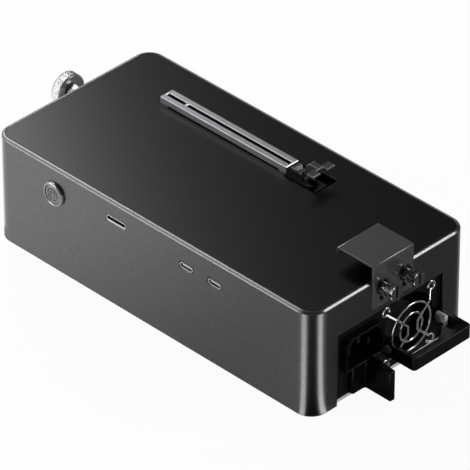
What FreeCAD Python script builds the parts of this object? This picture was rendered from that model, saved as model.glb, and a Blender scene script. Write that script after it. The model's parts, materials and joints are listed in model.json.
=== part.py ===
import FreeCAD, Part
import math
import os

# External graphics card enclosure: a rounded aluminium box with a card slot in its top plate
# and a slide-in power supply in one end. Millimetres, +X along the box towards the power
# supply end, +Y to the back, +Z up. The origin is on the floor under the middle of the box.

os.makedirs("parts", exist_ok=True)
Vec = FreeCAD.Vector
X_AXIS = Vec(1, 0, 0)
Y_AXIS = Vec(0, 1, 0)
Z_AXIS = Vec(0, 0, 1)

# Box shell
HOUSING_LENGTH = 224.0
SIDE_SPACE = 18.25
REAR_SPACE = 37.0
SLOT_ROOM = 7.3
CORNER_RADIUS = 10.0
WALL = 2.0
RIM_CHAMFER = 1.2
TOP_THICKNESS = 1.5
BASE_THICKNESS = 2.0
PLATE_GAP = 0.15
POST_RADIUS = 4.0
POST_INSET = 9.0
POST_WEB = 3.0
BOSS_RADIUS = 3.0
BOSS_LENGTH = 3.5
FOOT_PROUD = 1.5
FOOT_RADIUS = 5.0
FOOT_INSET_X = 24.0
FOOT_INSET_Y = 10.0

# Screws of the box
SCREW_RADIUS = 1.5
SCREW_HEAD_RADIUS = 2.9
SCREW_HEAD_DEPTH = 1.4
THREAD_GAP = 0.05
HOLE_GAP = 0.2

# Power supply module
PSU_HEIGHT = 40.0
PSU_SHEET = 0.8
PSU_LIFT = 0.05
NOTCH_SIDE_GAP = 0.25
NOTCH_TOP_GAP = 0.45
RAIL_GAP = 0.3
RAIL_SHEET = 1.2
RAIL_DROP = 2.0
RAIL_FOOT = 3.0
CARD_EDGE_REACH = 8.0
CARD_EDGE_WIDTH = 50.0
CARD_EDGE_HEIGHT = 8.0

# Fan and its wire guard
FAN_DEPTH = 28.0
FAN_SIDE_GAP = 2.85
FAN_HOLE_SPACING = 32.0
FAN_HOLE_MARGIN = 4.0
FAN_BORE_RADIUS = 18.8
FACE_OPENING_RADIUS = 18.0
ROTOR_RADIUS = 18.2
ROTOR_HUB_RADIUS = 11.0
ROTOR_DEPTH = 20.0
HUB_WALL = 1.2
MOTOR_RADIUS = 8.6
BEARING_RADIUS = 3.0
SHAFT_RADIUS = 1.25
MOTOR_LENGTH = 9.0
BEARING_LENGTH = 14.0
BLADE_COUNT = 7
BLADE_THICKNESS = 1.1
BLADE_CHORD = 15.0
BLADE_ANGLE_ROOT = 52.0
BLADE_ANGLE_TIP = 34.0
GUARD_WIRE = 1.35
GUARD_OUTER_RADIUS = 13.7
GUARD_INNER_RADIUS = 7.9
GUARD_RISE = 3.0
GUARD_EYE_RADIUS = 2.5
GUARD_APEX_Y = 3.4
GUARD_APEX_Z = 2.6
GUARD_SCREW_HEAD = 2.3
GUARD_SCREW_CAP = 1.4
GUARD_SCREW_REACH = 7.0

# Mains inlet
INLET_WIDTH = 27.0
INLET_HEIGHT = 19.0
INLET_PROUD = 4.4
INLET_BODY = 18.0
INLET_SIDE_GAP = 3.15
INLET_FAN_GAP = 0.5
INLET_CENTRE_Z = 28.4
INLET_RECESS_WIDTH = 24.6
INLET_RECESS_HEIGHT = 16.9
INLET_RECESS_DEPTH = 16.5
INLET_CORNER = 4.9
INLET_RIM_CORNER = 2.9
PIN_LENGTH = 11.8
PIN_WIDTH = 4.0
PIN_THICKNESS = 2.0
PIN_SPACING = 7.0
PIN_EARTH_LIFT = 4.0

# Release lever below the inlet, with offsets from the middle of the inlet
LEVER_PLATE_START = -7.2
LEVER_PLATE_WIDTH = 18.5
LEVER_PLATE_THICKNESS = 2.7
LEVER_PLATE_TOP = 18.6
LEVER_BOTTOM_GAP = 0.3
LEVER_FACE_GAP = 0.3
LEVER_TAB_START = 1.5
LEVER_TAB_THICKNESS = 3.6
LEVER_TAB_REACH = 20.0
LEVER_TAB_TOP_ROOT = 20.6
LEVER_TAB_TOP_END = 19.6
LEVER_FLARE = 1.2
LEVER_TRAVEL = 2.5
LEVER_STEM_START = -1.9
LEVER_STEM_WIDTH = 6.0
LEVER_ARM = 3.0
LEVER_STEM_TOP = 14.0
LEVER_STEM_BOTTOM = 6.0

# Pull handle of the power supply
HANDLE_WIDTH = 41.0
HANDLE_OFFSET = 2.2
HANDLE_REACH = 22.4
HANDLE_BOTTOM = 14.2
HANDLE_HEIGHT = 7.7
HANDLE_ARM = 3.0
HANDLE_BAR = 4.2
HANDLE_CORNER = 2.2
HANDLE_INNER_CORNER = 0.8
HANDLE_PIVOT_X = 4.3
HANDLE_PIVOT_Z = 19.0
HANDLE_SCREW_RADIUS = 1.3
HANDLE_SCREW_HEAD = 2.3
EAR_LENGTH = 8.0
EAR_BOTTOM = 15.2
EAR_TOP = 21.4
CLIP_SHEET = 1.0
CLIP_LENGTH = 9.8
CLIP_LIP = 2.2
CLIP_BOTTOM = 17.2
CLIP_TOP = 22.7

# Card slot and its latch
SLOT_START_X = -71.3
SLOT_LENGTH = 89.4
SLOT_CENTRE_Y = 26.9
SLOT_WIDTH = 8.6
SLOT_RISE = 4.0
SLOT_SHEET = 0.4
SLOT_END_WALL = 1.3
GROOVE_WIDTH = 1.8
GROOVE_DEPTH = 8.5
GROOVE_LIP = 1.2
GROOVE_SHORT = 12.6
GROOVE_KEY = 1.6
GROOVE_CHANNEL = 3.4
CONTACT_PITCH = 1.0
CONTACT_WIDTH = 0.6
CONTACT_THICKNESS = 0.3
CONTACT_HEIGHT = 6.4
SHELL_FOOT = 5.5
SHELL_GAP = 0.5
SHELL_OPENING = 2.3
WINDOW_GAP = 0.4
LATCH_GAP = 0.2
LATCH_LENGTH = 18.2
LATCH_HALF_WIDTH = 5.7
LATCH_POCKET_HALF = 3.3
LATCH_LEVER_HALF = 3.0
LATCH_CHEEK_LENGTH = 10.8
LATCH_PIVOT_X = 6.8
LATCH_PIVOT_DROP = 1.5
LATCH_PIN_RADIUS = 1.0
LATCH_HEAD_RISE = 10.4
LATCH_HEAD_HALF = 7.8
LATCH_HEAD_START = 10.3
LATCH_HEAD_LENGTH = 4.6
LATCH_HEAD_THICKNESS = 1.4
LATCH_FORK_HALF = 2.3
LATCH_FORK_DEPTH = 3.1
LATCH_ARM_STEP = 2.1
LATCH_RAIL_DROP = 2.5
LATCH_RAIL_CORNER = 2.4
LATCH_WINDOW_FRONT = 6.4
LATCH_WINDOW_BACK = 9.4
LATCH_WINDOW_LENGTH = 21.9

# Circuit boards
BOARD_THICKNESS = 1.6
BOARD_CLEARANCE = 3.55
MAIN_BOARD_END_GAP = 12.5
MAIN_BOARD_FRONT_GAP = 0.4
MAIN_BOARD_BACK_GAP = 3.0
SLOT_BOARD_LIFT = 6.4
SLOT_BOARD_END_MARGIN = 7.0
SLOT_BOARD_FRONT_MARGIN = 16.9
SLOT_BOARD_BACK_MARGIN = 21.1
STANDOFF_RADIUS = 2.5
STANDOFF_GAP = 0.25
STANDOFF_EDGE = 5.5
STANDOFF_SCREW_LENGTH = 8.0
SPACER_INSET = 4.0
BOARD_LINK_LENGTH = 60.0
BOARD_LINK_WIDTH = 7.0
BOARD_LINK_MARGIN = 2.0
POWER_BOARD_GAP = 15.4
POWER_BOARD_OVERHANG = 3.25
PSU_SOCKET_DEPTH = 12.4
PSU_SOCKET_HEIGHT = 10.0
SOCKET_SLACK = 0.1

# Sockets and button in the long front wall
BUTTON_X = -67.6
BUTTON_DEPTH = 15.7
BUTTON_BEZEL_RADIUS = 7.0
BUTTON_BEZEL_PROUD = 1.8
BUTTON_BEZEL_ROUND = 1.3
BUTTON_BARREL_RADIUS = 6.0
BUTTON_BARREL_LENGTH = 12.0
BUTTON_CAP_RADIUS = 5.3
BUTTON_CAP_LENGTH = 6.0
BUTTON_CAP_SINK = 0.3
BUTTON_CAP_ROUND = 0.9
BUTTON_GROOVES = (1.7, 3.3)
BUTTON_GROOVE_WIDTH = 0.45
BUTTON_GROOVE_DEPTH = 0.3
BUTTON_TRAVEL = 1.2
BUTTON_RUN_GAP = 0.1
BUTTON_NUT_WALL = 2.5
BUTTON_NUT_THICKNESS = 3.0
TERMINAL_PITCH = 6.0
TERMINAL_WIDTH = 2.4
TERMINAL_LENGTH = 4.0
TERMINAL_THICKNESS = 0.5
USB_PORT_X = (25.7, 45.3)
USB_WIDTH = 8.94
USB_HEIGHT = 3.26
USB_DEPTH = 7.35
USB_SHEET = 0.45
USB_TONGUE_WIDTH = 6.5
USB_TONGUE_THICKNESS = 0.7
USB_WALL_GAP = 0.45
DATA_PORT_X = -23.6
DATA_PORT_LIFT = 4.1
DATA_PORT_WIDTH = 13.2
DATA_PORT_TALL = 3.4
DATA_PORT_DEPTH = 12.0
DATA_PORT_CAVITY = 8.0
DATA_PORT_SKIN = 0.35
DATA_PORT_SILL = 0.9
DATA_TONGUE_THICKNESS = 0.8
TONGUE_SINK = 0.6
DATA_PORT_WALL_GAP = 0.25
PORT_RECESS = 0.1

# Card rest on the near end
REST_WIDTH = 28.5
REST_SHEET = 1.2
REST_RISE = 10.0
REST_CLEARANCE = 4.4
REST_DEPTH = 24.6
REST_LIP = 3.8
REST_BEND = 0.2
REST_BEND_OUTER = 1.1
REST_SLOT_SPACING = 16.0
REST_SLOT_WIDTH = 3.6
REST_SLOT_BELOW = 8.9
REST_SLOT_ABOVE = 3.9
THUMB_DEPTH = 4.2
THUMB_RADIUS = 4.0
THUMB_COLLAR_RADIUS = 3.3
THUMB_COLLAR = 3.2
THUMB_LENGTH = 6.0
THUMB_SLOT = 1.0
WASHER_RADIUS = 4.25
WASHER_THICKNESS = 0.8
FACE_GAP = 0.05

# Clamp for the card's bracket on the far end
CLAMP_Y = 7.2
CLAMP_DEPTH = 8.8
CLAMP_POST_RADIUS = 4.8
CLAMP_POST_LENGTH = 7.0
CLAMP_MOUTH = 1.0
CLAMP_KNOB_RADIUS = 9.2
CLAMP_KNOB_LENGTH = 6.0
CLAMP_SHANK_RADIUS = 2.0
CLAMP_STUD_RADIUS = 3.0

# Blocks inside the power supply and on the boards
TRANSFORMER_LENGTH = 38.0
TRANSFORMER_WIDTH = 32.0
TRANSFORMER_HEIGHT = 26.0
TRANSFORMER_LIMB = 9.0
TRANSFORMER_WINDOW = 4.0
TRANSFORMER_OFFSET_Y = 2.0
BULK_CAN_RADIUS = 8.5
BULK_CAN_HEIGHT = 27.0
BULK_CAN_PITCH = 19.0
BULK_CAN_GAP = 11.5
LONG_SINK_LENGTH = 115.0
SHORT_SINK_LENGTH = 32.0
POWER_SINK_THICKNESS = 2.5
POWER_SINK_SIDE_GAP = 10.0
PSU_BOARD_FRONT_GAP = 30.0
PSU_BOARD_SIDE_GAP = 3.0
PSU_BOSS_RADIUS = 3.0
PSU_BOSS_INSET = 8.0
SMALL_CAN_RADIUS = 4.0
SMALL_CAN_HEIGHT = 10.0
SMALL_CAN_PITCH = 11.0
BOARD_SOCKET_HALF = 5.0
BOARD_SOCKET_HEIGHT = 8.0
BOARD_SOCKET_MARGIN = 2.0
BRACKET_LEG = 10.0
BRACKET_SHEET = 1.2
BRACKET_WIDTH = 8.0
BRIDGE_END_GAP = 37.5
BRIDGE_Y = -15.0
BRIDGE_SIZE = 20.0
BRIDGE_HEIGHT = 1.6
SINK_SIZE = 36.0
SINK_BASE = 3.0
SINK_FINS = 9
SINK_FIN = 1.4
SINK_TOP_GAP = 1.5

# Places worked out from the sizes above
FAN_SIZE = FAN_HOLE_SPACING + 2 * FAN_HOLE_MARGIN
PSU_WIDTH = INLET_SIDE_GAP + INLET_WIDTH + INLET_FAN_GAP + FAN_SIZE + FAN_SIDE_GAP
HOUSING_WIDTH = PSU_WIDTH + 2 * SIDE_SPACE
HOUSING_HEIGHT = (BASE_THICKNESS + PSU_LIFT + PSU_HEIGHT + BOARD_CLEARANCE + 2 * BOARD_THICKNESS
                  + SLOT_BOARD_LIFT + SLOT_ROOM)
HALF_LENGTH = HOUSING_LENGTH / 2
HALF_WIDTH = HOUSING_WIDTH / 2
SHELL_BOTTOM = FOOT_PROUD
SHELL_TOP = SHELL_BOTTOM + HOUSING_HEIGHT
BASE_TOP = SHELL_BOTTOM + BASE_THICKNESS
TOP_UNDER = SHELL_TOP - TOP_THICKNESS
INNER_END = HALF_LENGTH - WALL
INNER_SIDE = HALF_WIDTH - WALL
POST_X = HALF_LENGTH - POST_INSET
POST_Y = HALF_WIDTH - POST_INSET
POST_TOP = TOP_UNDER - BOSS_LENGTH
PSU_FACE = INNER_END
PSU_BACK = -INNER_END + REAR_SPACE
PSU_BOTTOM = BASE_TOP + PSU_LIFT
PSU_TOP = PSU_BOTTOM + PSU_HEIGHT
PSU_HALF = PSU_WIDTH / 2
FAN_Y = PSU_HALF - FAN_SIDE_GAP - FAN_SIZE / 2
FAN_Z = PSU_BOTTOM + PSU_HEIGHT / 2
FAN_BACK = PSU_FACE - PSU_SHEET - FAN_DEPTH
INLET_Y = -PSU_HALF + INLET_SIDE_GAP + INLET_WIDTH / 2
LEVER_PLATE_LEFT = INLET_Y + LEVER_PLATE_START
LEVER_PLATE_RIGHT = LEVER_PLATE_LEFT + LEVER_PLATE_WIDTH
LEVER_TAB_LEFT = INLET_Y + LEVER_TAB_START
LEVER_STEM_LEFT = INLET_Y + LEVER_STEM_START
HANDLE_LEFT = FAN_Y + HANDLE_OFFSET - HANDLE_WIDTH / 2
HANDLE_RIGHT = HANDLE_LEFT + HANDLE_WIDTH
NOTCH_TOP = PSU_TOP + NOTCH_TOP_GAP
MAIN_BOARD_Z = PSU_TOP + BOARD_CLEARANCE
MAIN_BOARD_TOP = MAIN_BOARD_Z + BOARD_THICKNESS
MAIN_BOARD_HALF_LENGTH = INNER_END - MAIN_BOARD_END_GAP
BRIDGE_X = MAIN_BOARD_HALF_LENGTH - BRIDGE_END_GAP
STANDOFF_X = MAIN_BOARD_HALF_LENGTH - STANDOFF_EDGE
STANDOFF_Y = PSU_HALF + RAIL_GAP + RAIL_SHEET + RAIL_FOOT + STANDOFF_GAP + STANDOFF_RADIUS
SLOT_BOARD_Z = MAIN_BOARD_TOP + SLOT_BOARD_LIFT
SLOT_BOARD_TOP = SLOT_BOARD_Z + BOARD_THICKNESS
SLOT_TOP = SHELL_TOP + SLOT_RISE
SLOT_END_X = SLOT_START_X + SLOT_LENGTH
LATCH_X = SLOT_END_X + LATCH_GAP
SLOT_BOARD_START_X = SLOT_START_X - SLOT_BOARD_END_MARGIN
SLOT_BOARD_END_X = LATCH_X + LATCH_LENGTH + SLOT_BOARD_END_MARGIN
SLOT_BOARD_FRONT = SLOT_CENTRE_Y - SLOT_BOARD_FRONT_MARGIN
SLOT_BOARD_BACK = SLOT_CENTRE_Y + SLOT_BOARD_BACK_MARGIN
BUTTON_Z = SHELL_TOP - BUTTON_DEPTH
DATA_PORT_Z = MAIN_BOARD_TOP + DATA_PORT_LIFT
USB_Z = MAIN_BOARD_TOP + USB_HEIGHT / 2
PORT_FRONT = -HALF_WIDTH + PORT_RECESS
THUMB_Z = SHELL_TOP - THUMB_DEPTH
REST_TOP_Z = SHELL_TOP + REST_RISE
REST_BOTTOM_Z = NOTCH_TOP + REST_CLEARANCE
CLAMP_Z = SHELL_TOP - CLAMP_DEPTH
REST_FACE = HALF_LENGTH + REST_SHEET
POWER_BOARD_X = PSU_BACK - POWER_BOARD_GAP
POWER_BOARD_HALF_WIDTH = PSU_HALF + POWER_BOARD_OVERHANG
CARD_EDGE_Z = PSU_BOTTOM + CARD_EDGE_HEIGHT


def box(x0, x1, y0, y1, z0, z1):
    return Part.makeBox(x1 - x0, y1 - y0, z1 - z0, Vec(x0, y0, z0))


def rod(start, axis, radius, length):
    return Part.makeCylinder(radius, length, start, axis)


def tube(start, axis, outer, inner, length):
    return rod(start, axis, outer, length).cut(rod(start, axis, inner, length))


def fused(shapes):
    body = shapes[0].multiFuse(shapes[1:]) if len(shapes) > 1 else shapes[0]
    return body.removeSplitter()


def edges_along(shape, axis):
    found = []
    for edge in shape.Edges:
        if not isinstance(edge.Curve, Part.Line):
            continue
        if abs(abs(edge.tangentAt(edge.FirstParameter).dot(axis)) - 1) < 1e-6:
            found.append(edge)
    return found


def rounded_slab(length, width, radius, z0, z1):
    slab = box(-length / 2, length / 2, -width / 2, width / 2, z0, z1)
    return slab.makeFillet(radius, edges_along(slab, Z_AXIS))


def prism(points, direction):
    return Part.Face(Part.makePolygon(points + [points[0]])).extrude(direction)


def stadium_along_y(x, z, width, height, y0, y1):
    radius = height / 2
    reach = width / 2 - radius
    body = box(x - reach, x + reach, y0, y1, z - radius, z + radius)
    ends = [rod(Vec(x + side * reach, y0, z), Y_AXIS, radius, y1 - y0) for side in (-1, 1)]
    return fused([body] + ends)


def stadium_along_x(y, z0, z1, width, x0, x1):
    radius = width / 2
    body = box(x0, x1, y - radius, y + radius, z0 + radius, z1 - radius)
    ends = [rod(Vec(x0, y, z), X_AXIS, radius, x1 - x0) for z in (z0 + radius, z1 - radius)]
    return fused([body] + ends)


def corners(x, y):
    return [(sx * x, sy * y) for sx in (-1, 1) for sy in (-1, 1)]


def save(name, *solids):
    shape = solids[0] if len(solids) == 1 else Part.makeCompound(list(solids))
    shape.exportStep("parts/" + name + ".step")


def countersunk_screw(x, y, z, length):
    head = Part.makeCone(SCREW_HEAD_RADIUS, SCREW_RADIUS, SCREW_HEAD_DEPTH, Vec(x, y, z), Z_AXIS)
    shank = rod(Vec(x, y, z), Z_AXIS, SCREW_RADIUS, length)
    drive = box(x - 1.2, x + 1.2, y - 0.3, y + 0.3, z, z + 0.7)
    cross = box(x - 0.3, x + 0.3, y - 1.2, y + 1.2, z, z + 0.7)
    return head.fuse(shank).cut(fused([drive, cross]))


def countersink(x, y, z):
    radius = SCREW_HEAD_RADIUS + THREAD_GAP
    cone = Part.makeCone(radius, SCREW_RADIUS + THREAD_GAP, SCREW_HEAD_DEPTH, Vec(x, y, z), Z_AXIS)
    hole = rod(Vec(x, y, z), Z_AXIS, SCREW_RADIUS + HOLE_GAP, BASE_THICKNESS)
    return cone.fuse(hole)


# Box shell: wall ring, plates, feet and their screws

def housing():
    ring = rounded_slab(HOUSING_LENGTH, HOUSING_WIDTH, CORNER_RADIUS, SHELL_BOTTOM, SHELL_TOP)
    rim = [edge for edge in ring.Edges
           if all(abs(vertex.Z - SHELL_TOP) < 1e-6 for vertex in edge.Vertexes)]
    ring = ring.makeChamfer(RIM_CHAMFER, rim)
    ring = ring.cut(rounded_slab(2 * INNER_END, 2 * INNER_SIDE, CORNER_RADIUS - WALL,
                                 SHELL_BOTTOM - 1, SHELL_TOP + 1))
    added = []
    bores = []
    for x, y in corners(POST_X, POST_Y):
        out_x = math.copysign(INNER_END + WALL / 2, x)
        out_y = math.copysign(INNER_SIDE + WALL / 2, y)
        half = POST_WEB / 2
        added.append(rod(Vec(x, y, BASE_TOP), Z_AXIS, POST_RADIUS, POST_TOP - BASE_TOP))
        added.append(box(min(x, out_x), max(x, out_x), y - half, y + half, BASE_TOP, POST_TOP))
        added.append(box(x - half, x + half, min(y, out_y), max(y, out_y), BASE_TOP, POST_TOP))
        bores.append(rod(Vec(x, y, BASE_TOP - 1), Z_AXIS, SCREW_RADIUS + HOLE_GAP,
                         POST_TOP - BASE_TOP + 2))
    ring = fused([ring] + added).cut(fused(bores))
    return ring.cut(fused(wall_openings()))


def wall_openings():
    notch_half = PSU_HALF + NOTCH_SIDE_GAP
    openings = [box(INNER_END - 1, HALF_LENGTH + 1, -notch_half, notch_half,
                    SHELL_BOTTOM - 1, NOTCH_TOP)]
    openings.append(rod(Vec(BUTTON_X, -HALF_WIDTH - 1, BUTTON_Z), Y_AXIS,
                        BUTTON_BARREL_RADIUS + HOLE_GAP, WALL + 2))
    for x in USB_PORT_X:
        openings.append(stadium_along_y(x, USB_Z, USB_WIDTH + 2 * USB_WALL_GAP,
                                        USB_HEIGHT + 2 * USB_WALL_GAP,
                                        -HALF_WIDTH - 1, -INNER_SIDE + 1))
    slot = box(DATA_PORT_X - DATA_PORT_WIDTH / 2 - DATA_PORT_WALL_GAP,
               DATA_PORT_X + DATA_PORT_WIDTH / 2 + DATA_PORT_WALL_GAP,
               -HALF_WIDTH - 1, -INNER_SIDE + 1,
               DATA_PORT_Z - DATA_PORT_TALL / 2 - DATA_PORT_WALL_GAP,
               DATA_PORT_Z + DATA_PORT_TALL / 2 + DATA_PORT_WALL_GAP)
    openings.append(slot.makeFillet(DATA_PORT_TALL / 4, edges_along(slot, Y_AXIS)))
    for y in rest_screw_places():
        openings.append(rod(Vec(INNER_END - 1, y, THUMB_Z), X_AXIS, SCREW_RADIUS + THREAD_GAP,
                            WALL + 2))
    openings.append(rod(Vec(-HALF_LENGTH - 1, CLAMP_Y, CLAMP_Z), X_AXIS,
                        CLAMP_STUD_RADIUS + THREAD_GAP, WALL + 2))
    return openings


def top_plate():
    plate = rounded_slab(2 * (INNER_END - PLATE_GAP), 2 * (INNER_SIDE - PLATE_GAP),
                         CORNER_RADIUS - WALL - PLATE_GAP, TOP_UNDER, SHELL_TOP)
    bosses = [rod(Vec(x, y, POST_TOP), Z_AXIS, BOSS_RADIUS, BOSS_LENGTH)
              for x, y in corners(POST_X, POST_Y)]
    threads = [rod(Vec(x, y, POST_TOP - 1), Z_AXIS, SCREW_RADIUS + THREAD_GAP, BOSS_LENGTH + 1)
               for x, y in corners(POST_X, POST_Y)]
    slot_half = SLOT_WIDTH / 2 + WINDOW_GAP
    windows = [box(SLOT_START_X - WINDOW_GAP, LATCH_X, SLOT_CENTRE_Y - slot_half,
                   SLOT_CENTRE_Y + slot_half, TOP_UNDER - 1, SHELL_TOP + 1),
               box(LATCH_X - LATCH_GAP, LATCH_X + LATCH_WINDOW_LENGTH,
                   SLOT_CENTRE_Y - LATCH_WINDOW_FRONT, SLOT_CENTRE_Y + LATCH_WINDOW_BACK,
                   TOP_UNDER - 1, SHELL_TOP + 1)]
    return fused([plate] + bosses).cut(fused(threads + windows))


def base_plate():
    plate = rounded_slab(2 * (INNER_END - PLATE_GAP), 2 * (INNER_SIDE - PLATE_GAP),
                         CORNER_RADIUS - WALL - PLATE_GAP, SHELL_BOTTOM, BASE_TOP)
    holes = [countersink(x, y, SHELL_BOTTOM) for x, y in corners(POST_X, POST_Y) + standoff_places()]
    return plate.cut(fused(holes))


def standoff_places():
    return [(x, side * STANDOFF_Y) for x in (-STANDOFF_X, 0, STANDOFF_X)
            for side in (-1, 1)]


def rubber_feet():
    feet = []
    for x, y in corners(HALF_LENGTH - FOOT_INSET_X, HALF_WIDTH - FOOT_INSET_Y):
        foot = rod(Vec(x, y, 0), Z_AXIS, FOOT_RADIUS, FOOT_PROUD)
        rim = [edge for edge in foot.Edges if abs(edge.BoundBox.ZMax) < 1e-6]
        feet.append(foot.makeChamfer(FOOT_PROUD / 3, rim))
    return feet


def case_screws():
    reach = TOP_UNDER - 0.5 - SHELL_BOTTOM
    return [countersunk_screw(x, y, SHELL_BOTTOM, reach) for x, y in corners(POST_X, POST_Y)]


def make_shell():
    save("housing", housing())
    save("top_plate", top_plate())
    save("base_plate", base_plate())
    save("rubber_feet", *rubber_feet())
    save("case_screws", *case_screws())


# Boards and what stands on them

def board_standoffs():
    posts = []
    for x, y in standoff_places():
        post = rod(Vec(x, y, BASE_TOP), Z_AXIS, STANDOFF_RADIUS, MAIN_BOARD_Z - BASE_TOP)
        posts.append(post.cut(rod(Vec(x, y, BASE_TOP), Z_AXIS, SCREW_RADIUS + THREAD_GAP,
                                  STANDOFF_SCREW_LENGTH)))
    return posts


def board_notch():
    half = BUTTON_BARREL_RADIUS + 3.5
    return box(BUTTON_X - half, BUTTON_X + half, -HALF_WIDTH,
               -HALF_WIDTH + BUTTON_BARREL_LENGTH + 6, MAIN_BOARD_Z - 1, MAIN_BOARD_TOP + 1)


def main_board():
    board = box(-MAIN_BOARD_HALF_LENGTH, MAIN_BOARD_HALF_LENGTH, -INNER_SIDE + MAIN_BOARD_FRONT_GAP,
                INNER_SIDE - MAIN_BOARD_BACK_GAP, MAIN_BOARD_Z, MAIN_BOARD_TOP)
    return board.cut(board_notch())


def slot_board():
    return box(SLOT_BOARD_START_X, SLOT_BOARD_END_X, SLOT_BOARD_FRONT, SLOT_BOARD_BACK,
               SLOT_BOARD_Z, SLOT_BOARD_TOP)


def slot_board_spacers():
    return [rod(Vec(x, y, MAIN_BOARD_TOP), Z_AXIS, STANDOFF_RADIUS, SLOT_BOARD_Z - MAIN_BOARD_TOP)
            for x in (SLOT_BOARD_START_X + SPACER_INSET, SLOT_BOARD_END_X - SPACER_INSET)
            for y in (SLOT_BOARD_FRONT + SPACER_INSET, SLOT_BOARD_BACK - SPACER_INSET)]


def board_link():
    x0 = SLOT_START_X + SLOT_LENGTH / 4
    y0 = SLOT_BOARD_FRONT + BOARD_LINK_MARGIN
    return box(x0, x0 + BOARD_LINK_LENGTH, y0, y0 + BOARD_LINK_WIDTH, MAIN_BOARD_TOP, SLOT_BOARD_Z)


def bridge_chip():
    half = BRIDGE_SIZE / 2
    return box(BRIDGE_X - half, BRIDGE_X + half, BRIDGE_Y - half, BRIDGE_Y + half,
               MAIN_BOARD_TOP, MAIN_BOARD_TOP + BRIDGE_HEIGHT)


def heat_sink():
    half = SINK_SIZE / 2
    z0 = MAIN_BOARD_TOP + BRIDGE_HEIGHT
    body = [box(BRIDGE_X - half, BRIDGE_X + half, BRIDGE_Y - half, BRIDGE_Y + half, z0, z0 + SINK_BASE)]
    pitch = (SINK_SIZE - SINK_FIN) / (SINK_FINS - 1)
    for index in range(SINK_FINS):
        y0 = BRIDGE_Y - half + index * pitch
        body.append(box(BRIDGE_X - half, BRIDGE_X + half, y0, y0 + SINK_FIN,
                        z0 + SINK_BASE, TOP_UNDER - SINK_TOP_GAP))
    return fused(body)


def board_capacitors():
    first = -STANDOFF_X
    return [rod(Vec(first + index * SMALL_CAN_PITCH, BRIDGE_Y, MAIN_BOARD_TOP), Z_AXIS,
                SMALL_CAN_RADIUS, SMALL_CAN_HEIGHT) for index in range(4)]


def power_board():
    return box(POWER_BOARD_X - BOARD_THICKNESS, POWER_BOARD_X, -POWER_BOARD_HALF_WIDTH,
               POWER_BOARD_HALF_WIDTH, BASE_TOP + 0.5, MAIN_BOARD_Z - 1.5)


def board_socket():
    middle = POWER_BOARD_X - BOARD_THICKNESS / 2
    reach = POWER_BOARD_HALF_WIDTH - BOARD_SOCKET_MARGIN
    body = box(middle - BOARD_SOCKET_HALF, middle + BOARD_SOCKET_HALF, -reach, reach,
               MAIN_BOARD_Z - BOARD_SOCKET_HEIGHT, MAIN_BOARD_Z)
    groove = box(POWER_BOARD_X - BOARD_THICKNESS - SOCKET_SLACK, POWER_BOARD_X + SOCKET_SLACK,
                 -POWER_BOARD_HALF_WIDTH, POWER_BOARD_HALF_WIDTH,
                 MAIN_BOARD_Z - BOARD_SOCKET_HEIGHT - 1, MAIN_BOARD_Z - 1.4)
    return body.cut(groove)


def power_board_brackets():
    brackets = []
    back = POWER_BOARD_X - BOARD_THICKNESS
    for side in (-1, 1):
        y0 = side * (POWER_BOARD_HALF_WIDTH - BRACKET_WIDTH / 2 - 1) - BRACKET_WIDTH / 2
        y1 = y0 + BRACKET_WIDTH
        foot = box(back - BRACKET_LEG, back, y0, y1, BASE_TOP, BASE_TOP + BRACKET_SHEET)
        leaf = box(back - BRACKET_SHEET, back, y0, y1, BASE_TOP, BASE_TOP + BRACKET_LEG)
        brackets.append(foot.fuse(leaf).removeSplitter())
    return brackets


def psu_socket():
    half = CARD_EDGE_WIDTH / 2 + 3
    middle = CARD_EDGE_Z + BOARD_THICKNESS / 2
    body = box(POWER_BOARD_X, POWER_BOARD_X + PSU_SOCKET_DEPTH, -half, half,
               max(BASE_TOP, middle - PSU_SOCKET_HEIGHT / 2), middle + PSU_SOCKET_HEIGHT / 2)
    groove = box(PSU_BACK - CARD_EDGE_REACH - 1, PSU_BACK, -CARD_EDGE_WIDTH / 2 - SOCKET_SLACK,
                 CARD_EDGE_WIDTH / 2 + SOCKET_SLACK, CARD_EDGE_Z - SOCKET_SLACK,
                 CARD_EDGE_Z + BOARD_THICKNESS + SOCKET_SLACK)
    return body.cut(groove)


def psu_rail(side):
    inner = PSU_HALF + RAIL_GAP
    wall = box(PSU_BACK, INNER_END, inner, inner + RAIL_SHEET, BASE_TOP, PSU_TOP - RAIL_DROP)
    foot = box(PSU_BACK, INNER_END, inner, inner + RAIL_SHEET + RAIL_FOOT, BASE_TOP,
               BASE_TOP + RAIL_SHEET)
    rail = wall.fuse(foot).removeSplitter()
    if side < 0:
        rail = rail.mirror(Vec(0, 0, 0), Y_AXIS)
    return rail


def make_boards():
    save("main_board", main_board())
    save("board_standoffs", *board_standoffs())
    save("standoff_screws", *[countersunk_screw(x, y, SHELL_BOTTOM, STANDOFF_SCREW_LENGTH)
                              for x, y in standoff_places()])
    save("slot_board", slot_board())
    save("slot_board_spacers", *slot_board_spacers())
    save("board_link", board_link())
    save("bridge_chip", bridge_chip())
    save("heat_sink", heat_sink())
    save("board_capacitors", *board_capacitors())
    save("power_board", power_board())
    save("board_socket", board_socket())
    save("power_board_brackets", *power_board_brackets())
    save("psu_socket", psu_socket())
    save("psu_rail_left", psu_rail(-1))
    save("psu_rail_right", psu_rail(1))


# Card slot

def groove_spans():
    start = SLOT_START_X + SLOT_END_WALL
    middle = start + GROOVE_SHORT
    return [(start, middle), (middle + GROOVE_KEY, SLOT_END_X - SLOT_END_WALL)]


def slot_grooves(half_width, z0, z1):
    return fused([box(x0, x1, SLOT_CENTRE_Y - half_width, SLOT_CENTRE_Y + half_width, z0, z1)
                  for x0, x1 in groove_spans()])


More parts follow.
